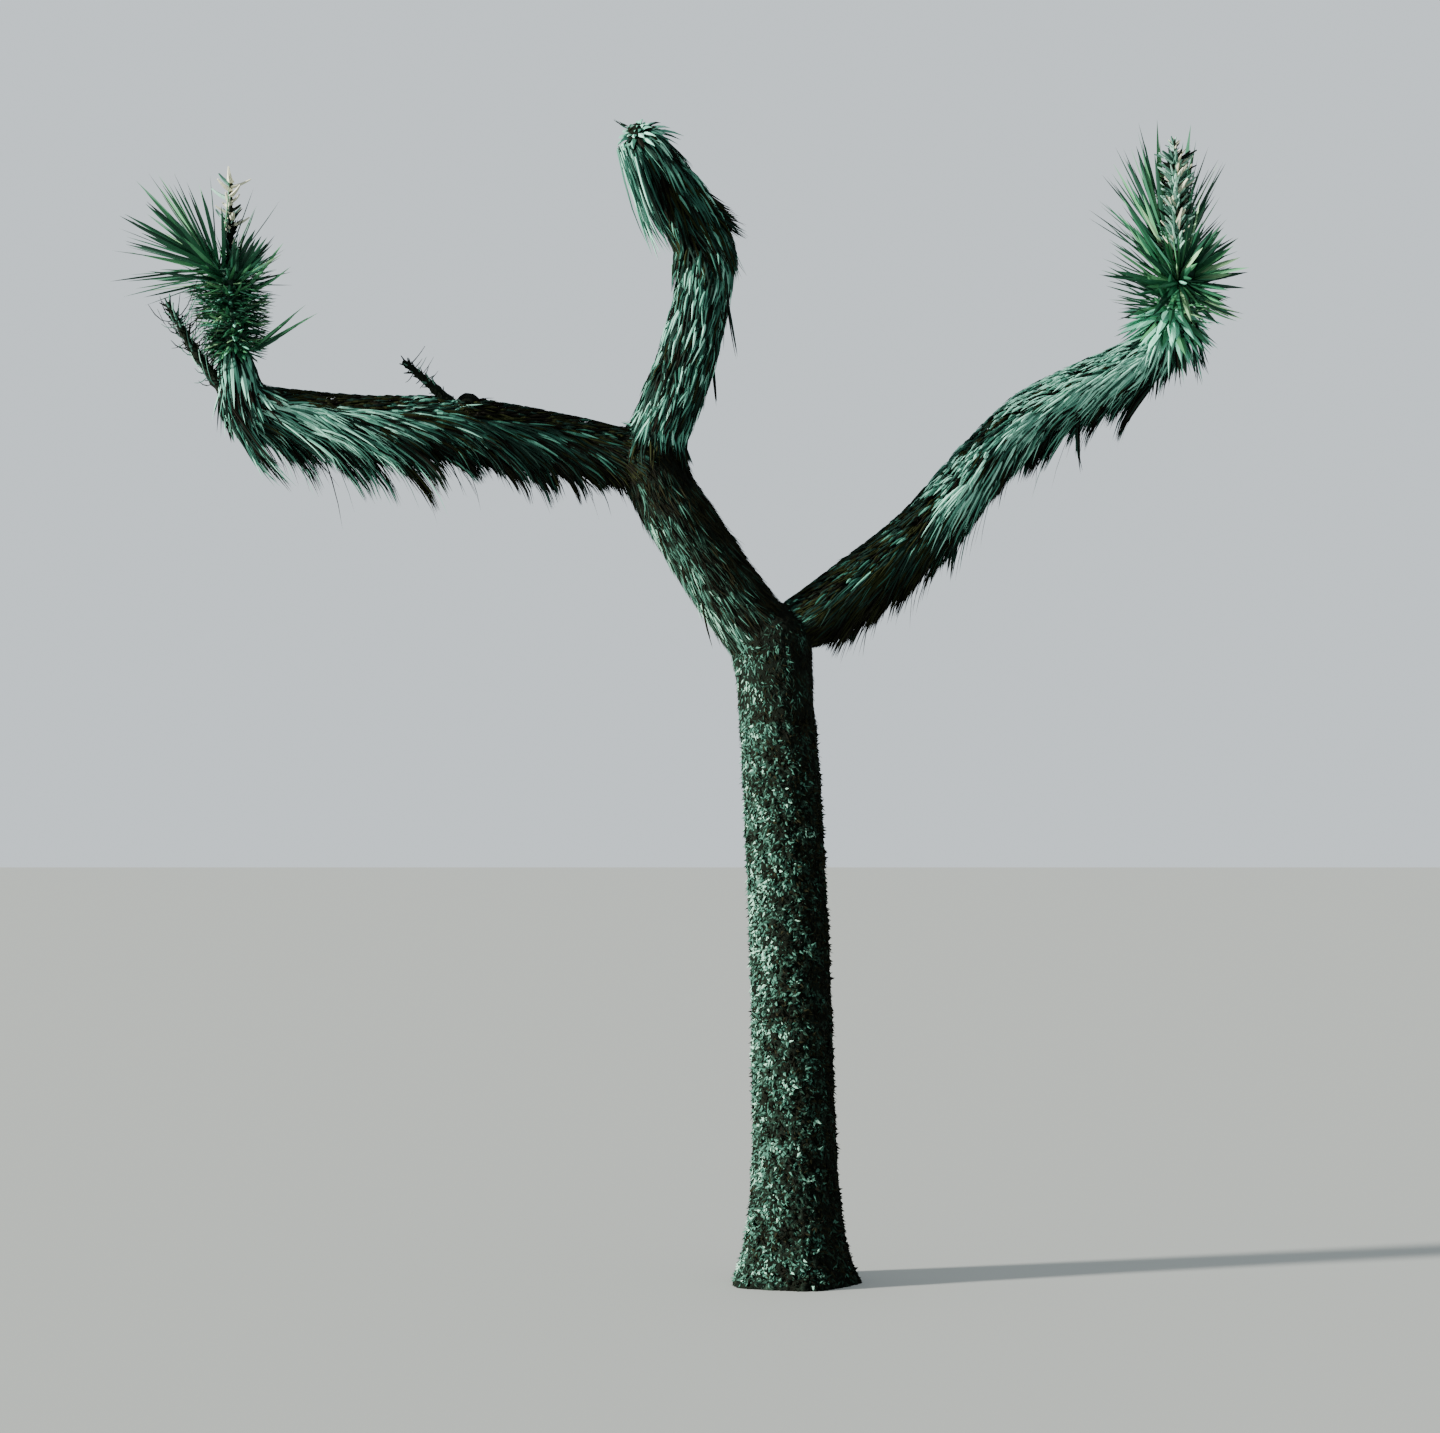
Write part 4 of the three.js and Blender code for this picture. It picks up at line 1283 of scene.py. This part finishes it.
def tip_bases(blades, bases=TIP_BASES):
    """Thick pale leaf bases curled round the tip of the dead head."""
    rng = np.random.default_rng(bases["seed"])
    spine, radii = BOUGHS[bases["bough"]]
    count = bases["count"]
    share = evenly(count)
    t = np.ones(count)
    tip, along, _, _ = spine.at(t)
    outward = spine.outward(t, np.arange(count) * GOLDEN_ANGLE)
    polar = (share ** bases["crowding"] * bases["widest"])[:, None]
    heading = along * np.cos(polar) + outward * np.sin(polar)
    root = tip - along * bases["sunk"] * MM + heading * radii[1] * MM * bases["ball"]
    length = MM * mix(*bases["lengths"], share) * uneven(rng, count, bases["length_spread"])
    length = length[:, None, None]
    curl = -along * (bases["curl"] + bases["more_curl"] * share)[:, None]
    lines = root[:, None] + length * (heading[:, None] * BLADE_SHARE + curl[:, None] * BLADE_SHARE**2)
    facings = np.repeat(unit(along + heading)[:, None], BLADE_POINTS, 1)
    facings = twisted(facings, lines, rng, bases["turn"])
    width = bases["width"] * MM * uneven(rng, count, bases["width_spread"])
    widths = width[:, None] * DEAD_PROFILE
    blades.add(lines, widths, facings, dealt(rng.random(count), bases["tones"]))


class JOSHUA_OT_thatch(bpy.types.Operator):
    """Grows the dead leaves round the arms, one piece for each sleeve of them"""

    bl_idname = "joshua.thatch"
    bl_label = "Dead leaves"

    def execute(self, context):
        settings = context.scene.joshua_leaves
        materials = materials_of(DEAD_TONES, DEAD_ROUGHNESS)
        for name, sleeve in SLEEVES.items():
            blades = Blades()
            DeadLeaves(sleeve, settings).grow(blades)
            for number, spec in enumerate(BUNDLES.get(name, [])):
                bundle(blades, spec, settings.dead_width, sleeve["seed"] * BUNDLE_SEEDS + number)
            if name == "middle_thatch_upper":
                tip_bases(blades)
            finish(blades.make(name + "_leaves", materials, DEAD_THICKNESS), "thatch", name)
        return {"FINISHED"}


# Dry scales and fibres on the bark in sight

# Each patch: its limb and the stretch of it, how closely set, the scales' size, how far they
# turn from the grain and lift, and their tones on the side painted as lit and on the side painted as shaded
TRUNK_PATCHES = [
    dict(
        limb="trunk", reach=(0.0, 0.88), closer=1.0, length=12, width=12, turn=1.3, lift=0.9,
        tones=(9, 34, 30, 6, 21), shade_tones=(1, 4, 19, 30, 46), seed=51,
    ),
    dict(
        limb="trunk", reach=(0.86, 1.0), closer=0.92, length=16, width=8, turn=0.6, lift=0.5,
        tones=(5, 25, 34, 10, 26), shade_tones=(0, 3, 17, 28, 52), seed=52,
    ),
]
# The patch at the knuckle and those on the roots of the middle and left arms take dark tones, painted shadow
# that the left arm casts
LIMB_PATCHES = [
    dict(
        limb="lower_limb", reach=(0.0, 0.8), closer=1.0, length=54, width=7.5, turn=0.16, lift=0.2,
        tones=(8, 22, 28, 8, 34), shade_tones=(0, 3, 18, 44, 35), seed=53,
    ),
    dict(
        limb="lower_limb", reach=(0.78, 1.0), closer=1.0, length=46, width=8, turn=0.2, lift=0.2,
        tones=(0, 4, 20, 28, 48), shade_tones=(0, 1, 8, 32, 59), seed=57,
    ),
    dict(
        limb="right_arm_lower", reach=(0.0, 0.16), closer=1.0, length=26, width=9, turn=0.5, lift=0.4,
        tones=(9, 26, 34, 10, 21), shade_tones=(4, 12, 26, 26, 32), seed=54,
    ),
    dict(
        limb="middle_arm_lower", reach=(0.0, 0.25), closer=1.0, length=38, width=8, turn=0.3, lift=0.2,
        tones=(0, 3, 20, 29, 48), shade_tones=(0, 1, 8, 32, 59), seed=55,
    ),
    dict(
        limb="left_arm", reach=(0.0, 0.12), closer=1.0, length=38, width=8, turn=0.3, lift=0.2,
        tones=(0, 2, 14, 32, 52), shade_tones=(0, 1, 8, 32, 59), seed=56,
    ),
]

# Painted light and shade on the scales: the side of the bark that takes the paler tones as if lit, and the
# mean and spread of where the painted shaded side starts
LIT_FROM = unit(np.array([-1.0, -0.45, -0.1]))
SHADE_EDGE = (0.18, 0.14)

# How much of a scale's tone comes from its blotch, itself and painted light. Blotches are this size, in
# metres, and longer upwards.
TONE_BY_BLOTCH = 0.6
TONE_BY_SCALE = 0.3
TONE_BY_LIGHT = 0.25
BLOTCH_SIZE = 0.026
BLOTCH_STRETCH = np.array([1, 1, 0.6])

# Scales: how deep they root, in millimetres, the range of their length and how much their width
# differs, as shares, and how much the face they root in turns them from the limb's own way out
SCALE_DEPTH = 2
SCALE_LENGTHS = (0.5, 1.3)
SCALE_WIDTH_SPREAD = 0.4
FACE_SHARE = 0.7

# No scale roots below this height or reaches lower than the other, in metres, and none roots in the
# level cut, which faces down at least so much.
LOWEST_SCALE = 0.012
LOWEST_POINT = 0.001
LEVEL_CUT = -0.95

# Thin brown leaves that hang from the lower limb
HANGING_WIDTH = 4.5
HANGING_SEED = 60
HANGING = [
    bunch((-352, -80, 1985), (-322, -92, 1870), 2, (14, 10), (0, 0, 0, 2, 1)),
    bunch((-292, -70, 1900), (-268, -84, 1790), 2, (14, 10), (0, 0, 0, 2, 1)),
    bunch((-240, -60, 1800), (-212, -70, 1655), 3, (16, 10), (0, 0, 0, 2, 1)),
]


class Skin:
    """The faces of a piece of bark, with the limb and the stretch of it that each belongs to."""

    def __init__(self, piece):
        mesh = piece.data
        count = len(mesh.polygons)
        centre = np.empty(count * 3, np.float32)
        normal = np.empty(count * 3, np.float32)
        area = np.empty(count, np.float32)
        mesh.polygons.foreach_get("center", centre)
        mesh.polygons.foreach_get("normal", normal)
        mesh.polygons.foreach_get("area", area)
        self.place = centre.reshape(-1, 3).astype(float)
        self.area = area.astype(float)
        _, level, ball = WOOD.gap(self.place)
        self.outward = unit(level + FACE_SHARE * normal.reshape(-1, 3))
        self.along = WOOD.along[ball]
        self.limb = WOOD.limb[ball]
        self.share = WOOD.share[ball]

    def chosen(self, limb, reach, spacing, rng):
        """Random faces of one stretch of a limb, about as far apart as the spacing."""
        low, high = reach
        inside = (self.limb == WOOD.names.index(limb)) & (self.share >= low) & (self.share <= high)
        inside &= (self.place[:, 2] > LOWEST_SCALE) & (self.outward[:, 2] > LEVEL_CUT)
        faces = np.flatnonzero(inside)
        chance = self.area[faces] / self.area[faces].sum()
        count = min(len(faces), int(self.area[faces].sum() / spacing**2))
        return rng.choice(faces, count, replace=False, p=chance)


def scales(blades, skin, patch, settings):
    """Short dry scales that lie on the bark, their free ends down the limb."""
    rng = np.random.default_rng(patch["seed"])
    faces = skin.chosen(patch["limb"], patch["reach"], settings.scale_spacing * patch["closer"], rng)
    count = len(faces)
    outward = skin.outward[faces]
    along = unit(skin.along[faces] - dot(skin.along[faces], outward) * outward)
    roots = skin.place[faces] - outward * SCALE_DEPTH * MM
    turn = rng.normal(0, patch["turn"], count)[:, None]
    heading = -along * np.cos(turn) + np.cross(along, outward) * np.sin(turn)
    lift = patch["lift"] * rng.random(count)[:, None]
    length = (MM * patch["length"] * mix(*SCALE_LENGTHS, rng.random(count)))[:, None]
    tip = roots + length * (heading + outward * lift)
    lines = np.stack([roots, tip], 1)
    lines[:, :, 2] = np.maximum(lines[:, :, 2], LOWEST_POINT)
    facings = twisted(np.repeat(outward[:, None], 2, 1), lines, rng, SCALE_TURN)
    widths = (MM * patch["width"] * uneven(rng, count, SCALE_WIDTH_SPREAD))[:, None] * SCALE_PROFILE
    # Painted light and shade: scales that face the light take the lit tones, the others the darker shade
    # tones
    facing_light = outward @ LIT_FROM
    rank = TONE_BY_BLOTCH * blotches(roots * BLOTCH_STRETCH, BLOTCH_SIZE)
    rank = rank + TONE_BY_SCALE * rng.random(count) - TONE_BY_LIGHT * facing_light
    lit = facing_light > rng.normal(*SHADE_EDGE, count)
    tones = np.empty(count, int)
    tones[lit] = dealt(rank[lit], patch["tones"])
    tones[~lit] = dealt(rank[~lit], patch["shade_tones"])
    blades.add(lines, widths, facings, tones)


class JOSHUA_OT_scales(bpy.types.Operator):
    """Lays dry scales on the bark in sight, and the thin leaves that hang from the lower limb"""

    bl_idname = "joshua.scales"
    bl_label = "Scales on the bark"

    def execute(self, context):
        settings = context.scene.joshua_wood
        materials = materials_of(SCALE_TONES, SCALE_ROUGHNESS)
        skin = Skin(bpy.data.objects["trunk_bark"])
        groups = {"trunk": ("trunk_scales", TRUNK_PATCHES), "lower_limb": ("limb_scales", LIMB_PATCHES)}
        for node, (name, patches) in groups.items():
            blades = Blades()
            for patch in patches:
                scales(blades, skin, patch, settings)
            finish(blades.make(name, materials, SCALE_THICKNESS), "bark", node)
        blades = Blades()
        for number, spec in enumerate(HANGING):
            bundle(blades, spec, HANGING_WIDTH * MM, HANGING_SEED + number)
        finish(blades.make("hanging_leaves", materials, LOOSE_THICKNESS), "bark", "lower_limb")
        return {"FINISHED"}


# Living crowns

# Each head: its stem, the stem's radius, how many leaves from where on, how far they open at the
# foot and at the tip, their length as a share there, their width as a share, how much they stray
# from their heading, and their tones. A favoured way has longer leaves, and a parted way has none.
CROWNS = {
    "left_crown": [
        # The column's share of the pale reflexed-leaf tone stands for painted glints on its level leaves
        dict(
            spine=Spine([(-1440.2, -352, 2430), (-1446, -353, 2540), LEFT_CROWN_FORK]),
            radius=58, count=680, start=0.0, opens=(104, 86), shares=(0.14, 0.29), wide=0.74, jumble=0.2,
            tones=(6, 18, 28, 37, 11), seed=31,
        ),
        dict(
            spine=Spine([(-1458, -352, 2612), (-1494, -356, 2652), (-1534, -362, 2686)]),
            radius=30, count=74, start=0.1, opens=(74, 14), shares=(0.84, 0.82), wide=0.82, jumble=0.06,
            tones=(4, 20, 40, 36, 0), seed=32,
        ),
        dict(
            spine=Spine([(-1448, -352, 2598), (-1436, -350, 2624), (-1424, -346, 2650)]),
            radius=30, count=42, start=0.1, opens=(74, 10), shares=(0.48, 0.37), wide=0.8, jumble=0.1,
            tones=(6, 12, 30, 52, 0), seed=33,
        ),
    ],
    "right_crown": [
        dict(
            spine=Spine([(1034.1, 393, 2590), (1042, 396, 2700), RIGHT_CROWN_TOP]),
            radius=50, count=280, start=0.0, opens=(98, 8), shares=(0.36, 0.9), wide=1.05, jumble=0.13,
            tones=(3, 23, 38, 36, 0), seed=34, favour=((-0.87, 0, 0.49), 0.12), parted=((0.1, -1, 0), 0.78),
        ),
        dict(
            spine=Spine([(1046, 388, 2664), (1062, 350, 2690), (1076, 314, 2706)]),
            radius=36, count=110, start=0.2, opens=(94, 14), shares=(0.5, 0.6), wide=1.1, jumble=0.08,
            tones=(10, 26, 34, 28, 2), seed=35,
        ),
        dict(
            spine=Spine([(1034, 393, 2570), (1038, 393, 2600), (1044, 390, 2630)]),
            radius=50, count=110, start=0.0, opens=(156, 108), shares=(0.44, 0.48), wide=1.7, jumble=0.1,
            tones=(6, 6, 12, 12, 64), seed=36,
        ),
    ],
}
STRAY_LEAVES = {
    "left_crown": [
        bunch((-1380, -372, 2448), (-1240, -380, 2566), 2, (8, 6), (0, 3, 4, 5)),
        bunch((-1380, -372, 2444), (-1216, -380, 2534), 2, (8, 6), (2, 3, 4, 5)),
        bunch((-1384, -372, 2436), (-1270, -380, 2500), 3, (10, 18), (4, 3, 4, 5)),
        bunch((-1390, -372, 2600), (-1278, -380, 2650), 2, (10, 10), (0, 3, 4, 5)),
        bunch((-1394, -366, 2612), (-1310, -376, 2716), 2, (8, 8), (2, 3, 4, 0)),
    ],
    "right_crown": [
        bunch((1000, 372, 2700), (812, 360, 2712), 2, (8, 5), (0, 1, 4, 5)),
        bunch((1060, 350, 2800), (1190, 344, 3020), 3, (10, 12), (0, 1, 4, 5)),
        bunch((1068, 320, 2720), (1112, 330, 2930), 3, (8, 14), (3, 1, 4, 5)),
        bunch((1100, 330, 2640), (1240, 320, 2580), 6, (14, 30), (5, 3, 4, 5)),
    ],
}

# Living leaves stray by so many degrees from how far they open. They root at a share of the stem's
# radius, are longer by a share of that depth, and bend a little up the stem and down.
OPEN_SPREAD = 10
ROOT_SHARE = 0.5
SUNK_SHARE = 0.8
BEND_UP_STEM = 0.05
BEND_DOWN = 0.04

# How much living leaves differ, as a share of each measure
LIVING_SPREAD = dict(length=0.16, width=0.2, bend=1.0)

# Below this share of its stem a parted head has leaves all round
PARTED_FROM = 0.25

# The stem that is made, as a share of the radius that leaves root in, and its tone's number: the deep leaf
# tone, which darkens the heart of each head as painted shade
STEM_SHARE = 0.66
STEM_TONE = 3

# Stray leaves of a crown: their width as a share of a living leaf's, their sag and their first seed
STRAY_WIDTH = 0.7
STRAY_SAG = 0.02
STRAY_SEED = 70


def living_length(head, share, heading, settings, rng):
    """How long each leaf of a head is, longer in the favoured way."""
    length = settings.living_length * mix(*head["shares"], share)
    length = length * uneven(rng, head["count"], LIVING_SPREAD["length"])
    if "favour" in head:
        towards, by = head["favour"]
        length = length * (1 + by * (heading @ np.array(towards, float)))
    return length


def living_leaves(blades, head, settings):
    """The leaves of one head, in a close spiral up its stem."""
    rng = np.random.default_rng(head["seed"])
    spine = head["spine"]
    count = head["count"]
    share = evenly(count)
    t = mix(head["start"], 1.0, share)
    outward = spiral(spine, t, rng, LIVING_JITTER)
    centre, along, _, _ = spine.at(t)
    opened = mix(*head["opens"], share) + mix(-OPEN_SPREAD, OPEN_SPREAD, rng.random(count))
    opened = np.radians(opened)[:, None]
    heading = along * np.cos(opened) + outward * np.sin(opened)
    heading = unit(heading + head["jumble"] * rng.normal(size=(count, 3)))
    length = living_length(head, share, heading, settings, rng)
    sunk = MM * head["radius"] * ROOT_SHARE
    roots = centre + outward * sunk
    length = (length + sunk * SUNK_SHARE)[:, None, None]
    bend = (along * BEND_UP_STEM - UP * BEND_DOWN)[:, None]
    bend = bend * uneven(rng, count, LIVING_SPREAD["bend"])[:, None, None]
    lines = roots[:, None] + length * (heading[:, None] * BLADE_SHARE + bend * BLADE_SHARE**2)
    facings = twisted(upright(along, heading), lines, rng, LIVING_TURN)
    width = settings.living_width * head["wide"] * uneven(rng, count, LIVING_SPREAD["width"])
    widths = width[:, None] * LIVING_PROFILE
    kept = np.ones(count, bool)
    if "parted" in head:
        towards, limit = head["parted"]
        kept = (outward @ np.array(towards, float) < limit) | (t < PARTED_FROM)
    tones = dealt(rng.random(count), head["tones"])
    blades.add(lines[kept], widths[kept], facings[kept], tones[kept])


class JOSHUA_OT_crowns(bpy.types.Operator):
    """Grows the living leaves of both crowns, one piece for each crown"""

    bl_idname = "joshua.crowns"
    bl_label = "Crowns"

    def execute(self, context):
        settings = context.scene.joshua_leaves
        stray_width = settings.living_width * STRAY_WIDTH
        materials = materials_of(LIVING_TONES, LIVING_ROUGHNESS, LIVING_SHINE)
        for number, (name, heads) in enumerate(CROWNS.items()):
            blades = Blades()
            for head in heads:
                living_leaves(blades, head, settings)
            for stray, spec in enumerate(STRAY_LEAVES[name]):
                seed = STRAY_SEED + BUNDLE_SEEDS * number + stray
                bundle(blades, spec, stray_width, seed, LIVING_PROFILE, STRAY_SAG)
            finish(blades.make(name + "_leaves", materials, LIVING_THICKNESS, sides=4), "leaf", name)
            limbs = [(head["spine"], even_radius(STEM_SHARE * head["radius"])) for head in heads]
            finish(tubes(name + "_stems", limbs, materials[STEM_TONE]), "leaf", name)
        return {"FINISHED"}


def even_radius(radius):
    return lambda t, outward: MM * radius


def tubes(name, limbs, material, sides=12, step=7 * MM):
    """A piece of closed tubes."""
    shell = bmesh.new()
    for spine, radius_at in limbs:
        limb_mesh(shell, spine, radius_at, sides, step)
    mesh = bpy.data.meshes.new(name)
    shell.to_mesh(mesh)
    shell.free()
    mesh.materials.append(material)
    return link(name, mesh)


# Old flower stalks and stubs

# Each stalk: its line, its radii at both ends, and the stems, bracts or pods round it. Of these: how
# many on which stretch of it, their length and width, how much they rise with the stalk and curl up,
# and their tones from pale to dark
STALKS = {
    "left_side_stalk": dict(
        spine=Spine([(-1446, -350, 2306), (-1536, -374, 2430), (-1606, -388, 2552)]), radii=(19, 7),
        stems=[
            dict(count=90, reach=(0.12, 1.0), size=(26, 9), rise=0.9, curl=0.2, tones=(1, 6, 28, 65)),
            dict(count=70, reach=(0.2, 0.9), size=(74, 5.5), rise=-0.25, curl=0.9, tones=(1, 12, 30, 57)),
        ],
        seed=11,
    ),
    "left_arm_stub": dict(
        spine=Spine([(-868, -206, 2288), (-960, -236, 2372), (-1012, -246, 2416)]), radii=(18, 7),
        stems=[
            dict(count=60, reach=(0.0, 0.96), size=(30, 10), rise=1.6, curl=0.0, tones=(0, 4, 24, 72)),
            dict(count=16, reach=(0.55, 0.95), size=(46, 5), rise=-0.2, curl=0.3, tones=(0, 2, 12, 86)),
        ],
        seed=12,
    ),
    "left_flower_stalk": dict(
        spine=Spine([LEFT_CROWN_FORK, (-1450, -366, 2740), (-1448, -372, 2876)]), radii=(9, 4),
        stems=[
            dict(count=110, reach=(0.0, 0.62), size=(30, 8), rise=1.1, curl=0.1, tones=(2, 6, 22, 70)),
            dict(count=18, reach=(0.46, 0.99), size=(44, 18), rise=0.2, curl=0.3, tones=(76, 12, 4, 8)),
        ],
        seed=13,
    ),
    "right_flower_stalk": dict(
        spine=Spine([(1050, 322, 2750), (1052, 350, 2900), (1048, 372, 3072)]), radii=(10, 5),
        stems=[
            dict(count=300, reach=(0.05, 0.86), size=(48, 15), rise=0.4, curl=0.1, tones=(16, 42, 26, 16)),
            dict(count=40, reach=(0.8, 1.0), size=(24, 9), rise=0.9, curl=0.1, tones=(18, 34, 24, 24)),
        ],
        seed=14,
    ),
}

# How much the stems on a stalk differ, as a share of each measure
STEM_SPREAD = dict(rise=0.5, length=0.35, curl=0.6, width=0.25)

# Knots in a stalk: how many fit round it and along it, and how high they are as a share of its radius
KNOTS_ROUND = 1.5
KNOTS_ALONG = 14
KNOT_HEIGHT = 0.35


def stalk_stems(blades, stalk, stems, rng):
    """Short stems, bracts or pods round a stalk."""
    spine = stalk["spine"]
    count = stems["count"]
    length, width = stems["size"]
    t = mix(*stems["reach"], evenly(count))
    outward = spiral(spine, t, rng, STEM_JITTER)
    centre, along, _, _ = spine.at(t)
    rise = (stems["rise"] * uneven(rng, count, STEM_SPREAD["rise"]))[:, None]
    heading = unit(along * rise + outward)
    lengths = (MM * length * uneven(rng, count, STEM_SPREAD["length"]))[:, None, None]
    curl = (stems["curl"] * uneven(rng, count, STEM_SPREAD["curl"]))[:, None, None]
    bend = UP * curl * BLADE_SHARE**2
    lines = centre[:, None] + lengths * (heading[:, None] * BLADE_SHARE + bend)
    facings = twisted(upright(along, heading), lines, rng)
    widths = (MM * width * uneven(rng, count, STEM_SPREAD["width"]))[:, None] * STEM_PROFILE
    blades.add(lines, widths, facings, dealt(rng.random(count), stems["tones"]))


def rough_radius(radii):
    """A stalk's radius with knots and ridges in it."""
    foot, tip = radii

    def radius_at(t, outward):
        places = outward * KNOTS_ROUND
        places[:, 2] += t * KNOTS_ALONG
        knots = np.array([noise.noise(place) for place in places])
        return MM * mix(foot, tip, t) * (1 + KNOT_HEIGHT * knots)

    return radius_at


class JOSHUA_OT_stalks(bpy.types.Operator):
    """Makes the old flower stalks and the stub on the left arm"""

    bl_idname = "joshua.stalks"
    bl_label = "Old stalks"

    def execute(self, context):
        materials = materials_of(STALK_TONES, STALK_ROUGHNESS)
        for name, stalk in STALKS.items():
            rng = np.random.default_rng(stalk["seed"])
            blades = Blades()
            for stems in stalk["stems"]:
                stalk_stems(blades, stalk, stems, rng)
            finish(blades.make(name + "_stems", materials, STEM_THICKNESS, sides=4), "stalk", name)
            limbs = [(stalk["spine"], rough_radius(stalk["radii"]))]
            finish(tubes(name + "_core", limbs, materials[-1]), "stalk", name)
        return {"FINISHED"}


# Studio

# The photo's width and focal length in pixels, and how much larger the camera shows the tree. Places and
# sizes are metres, but for the sensor's width in millimetres.
IMAGE_WIDTH = 1440
PHOTO_FOCAL_PIXELS = 2057
ZOOM = 2.0
SENSOR_WIDTH = 36.0
EYE = (-0.196, -10.9, 1.5)
FLOOR_SIZE = 60.0
KEY_COLOUR = (1.0, 0.97, 0.9)
SKY_COLOUR = (0.82, 0.9, 0.95, 1.0)
CLIP_END = 200

# The light is low and comes from the left and a little from the front
KEY_TURN = math.radians(20)
KEY_HEIGHT = math.radians(10)
KEY_FROM = Vector((-math.cos(KEY_TURN), -math.sin(KEY_TURN), math.tan(KEY_HEIGHT)))


def sky(settings):
    """An even sky. The camera sees it as a pale backdrop."""
    world = bpy.data.worlds.new("Sky")
    world.use_nodes = True
    steps = Nodes(world.node_tree)
    path = steps.add("ShaderNodeLightPath")
    is_camera = path.outputs["Is Camera Ray"]
    strength = steps.mixed("FLOAT", is_camera, settings.sky_strength, settings.backdrop_strength)
    background = world.node_tree.nodes["Background"]
    background.inputs["Color"].default_value = SKY_COLOUR
    steps.feed(background.inputs["Strength"], strength)
    return world


def floor(settings):
    """A large level floor."""
    half = FLOOR_SIZE / 2
    mesh = bpy.data.meshes.new("floor")
    corners = [(-half, -half, 0), (half, -half, 0), (half, half, 0), (-half, half, 0)]
    mesh.from_pydata(corners, [], [(0, 1, 2, 3)])
    material, _, shader = new_material("Floor", FLOOR_ROUGHNESS)
    shader.inputs["Base Color"].default_value = settings.floor_colour
    mesh.materials.append(material)
    return link("floor", mesh)


def sun(settings):
    """The one strong light."""
    lamp = bpy.data.lights.new("key", "SUN")
    lamp.energy = settings.key_strength
    lamp.angle = settings.key_angle
    lamp.color = KEY_COLOUR
    key = link("key", lamp)
    key.rotation_euler = (-KEY_FROM).to_track_quat("-Z", "Y").to_euler()
    return key


def photo_camera():
    """A camera in the photo's place, which shows the tree larger."""
    eye = bpy.data.cameras.new("camera")
    eye.sensor_width = SENSOR_WIDTH
    eye.lens = SENSOR_WIDTH * PHOTO_FOCAL_PIXELS * ZOOM / IMAGE_WIDTH
    eye.clip_end = CLIP_END
    camera = link("camera", eye)
    camera.location = EYE
    camera.rotation_euler = (math.pi / 2, 0, 0)
    return camera


class JOSHUA_OT_studio(bpy.types.Operator):
    """Sets up the floor, the light, the sky and the camera"""

    bl_idname = "joshua.studio"
    bl_label = "Studio"

    def execute(self, context):
        settings = context.scene.joshua_studio
        floor(settings)
        sun(settings)
        context.scene.world = sky(settings)
        context.scene.camera = photo_camera()
        return {"FINISHED"}


class JOSHUA_PT_panel(bpy.types.Panel):
    """Lists the steps that grow the tree"""

    bl_idname = "JOSHUA_PT_panel"
    bl_label = "Joshua Tree"
    bl_space_type = "VIEW_3D"
    bl_region_type = "UI"
    bl_category = "Joshua Tree"

    def draw(self, context):
        for name, kind in SETTINGS.items():
            box = self.layout.box()
            for label in kind.__annotations__:
                box.prop(getattr(context.scene, name), label)
        for step in STEPS:
            self.layout.operator(step.bl_idname)


STEPS = (
    JOSHUA_OT_bark,
    JOSHUA_OT_scales,
    JOSHUA_OT_thatch,
    JOSHUA_OT_crowns,
    JOSHUA_OT_stalks,
    JOSHUA_OT_studio,
)
SETTINGS = {
    "joshua_wood": JoshuaWoodSettings,
    "joshua_leaves": JoshuaLeafSettings,
    "joshua_studio": JoshuaStudioSettings,
}


def register():
    for group in (*SETTINGS.values(), *STEPS, JOSHUA_PT_panel):
        bpy.utils.register_class(group)
    for label, group in SETTINGS.items():
        setattr(bpy.types.Scene, label, bpy.props.PointerProperty(type=group))


def unregister():
    for label in SETTINGS:
        delattr(bpy.types.Scene, label)
    for group in reversed((*SETTINGS.values(), *STEPS, JOSHUA_PT_panel)):
        bpy.utils.unregister_class(group)


def main():
    register()
    for step in STEPS:
        group, name = step.bl_idname.split(".")
        getattr(getattr(bpy.ops, group), name)()


if __name__ == "__main__":
    main()
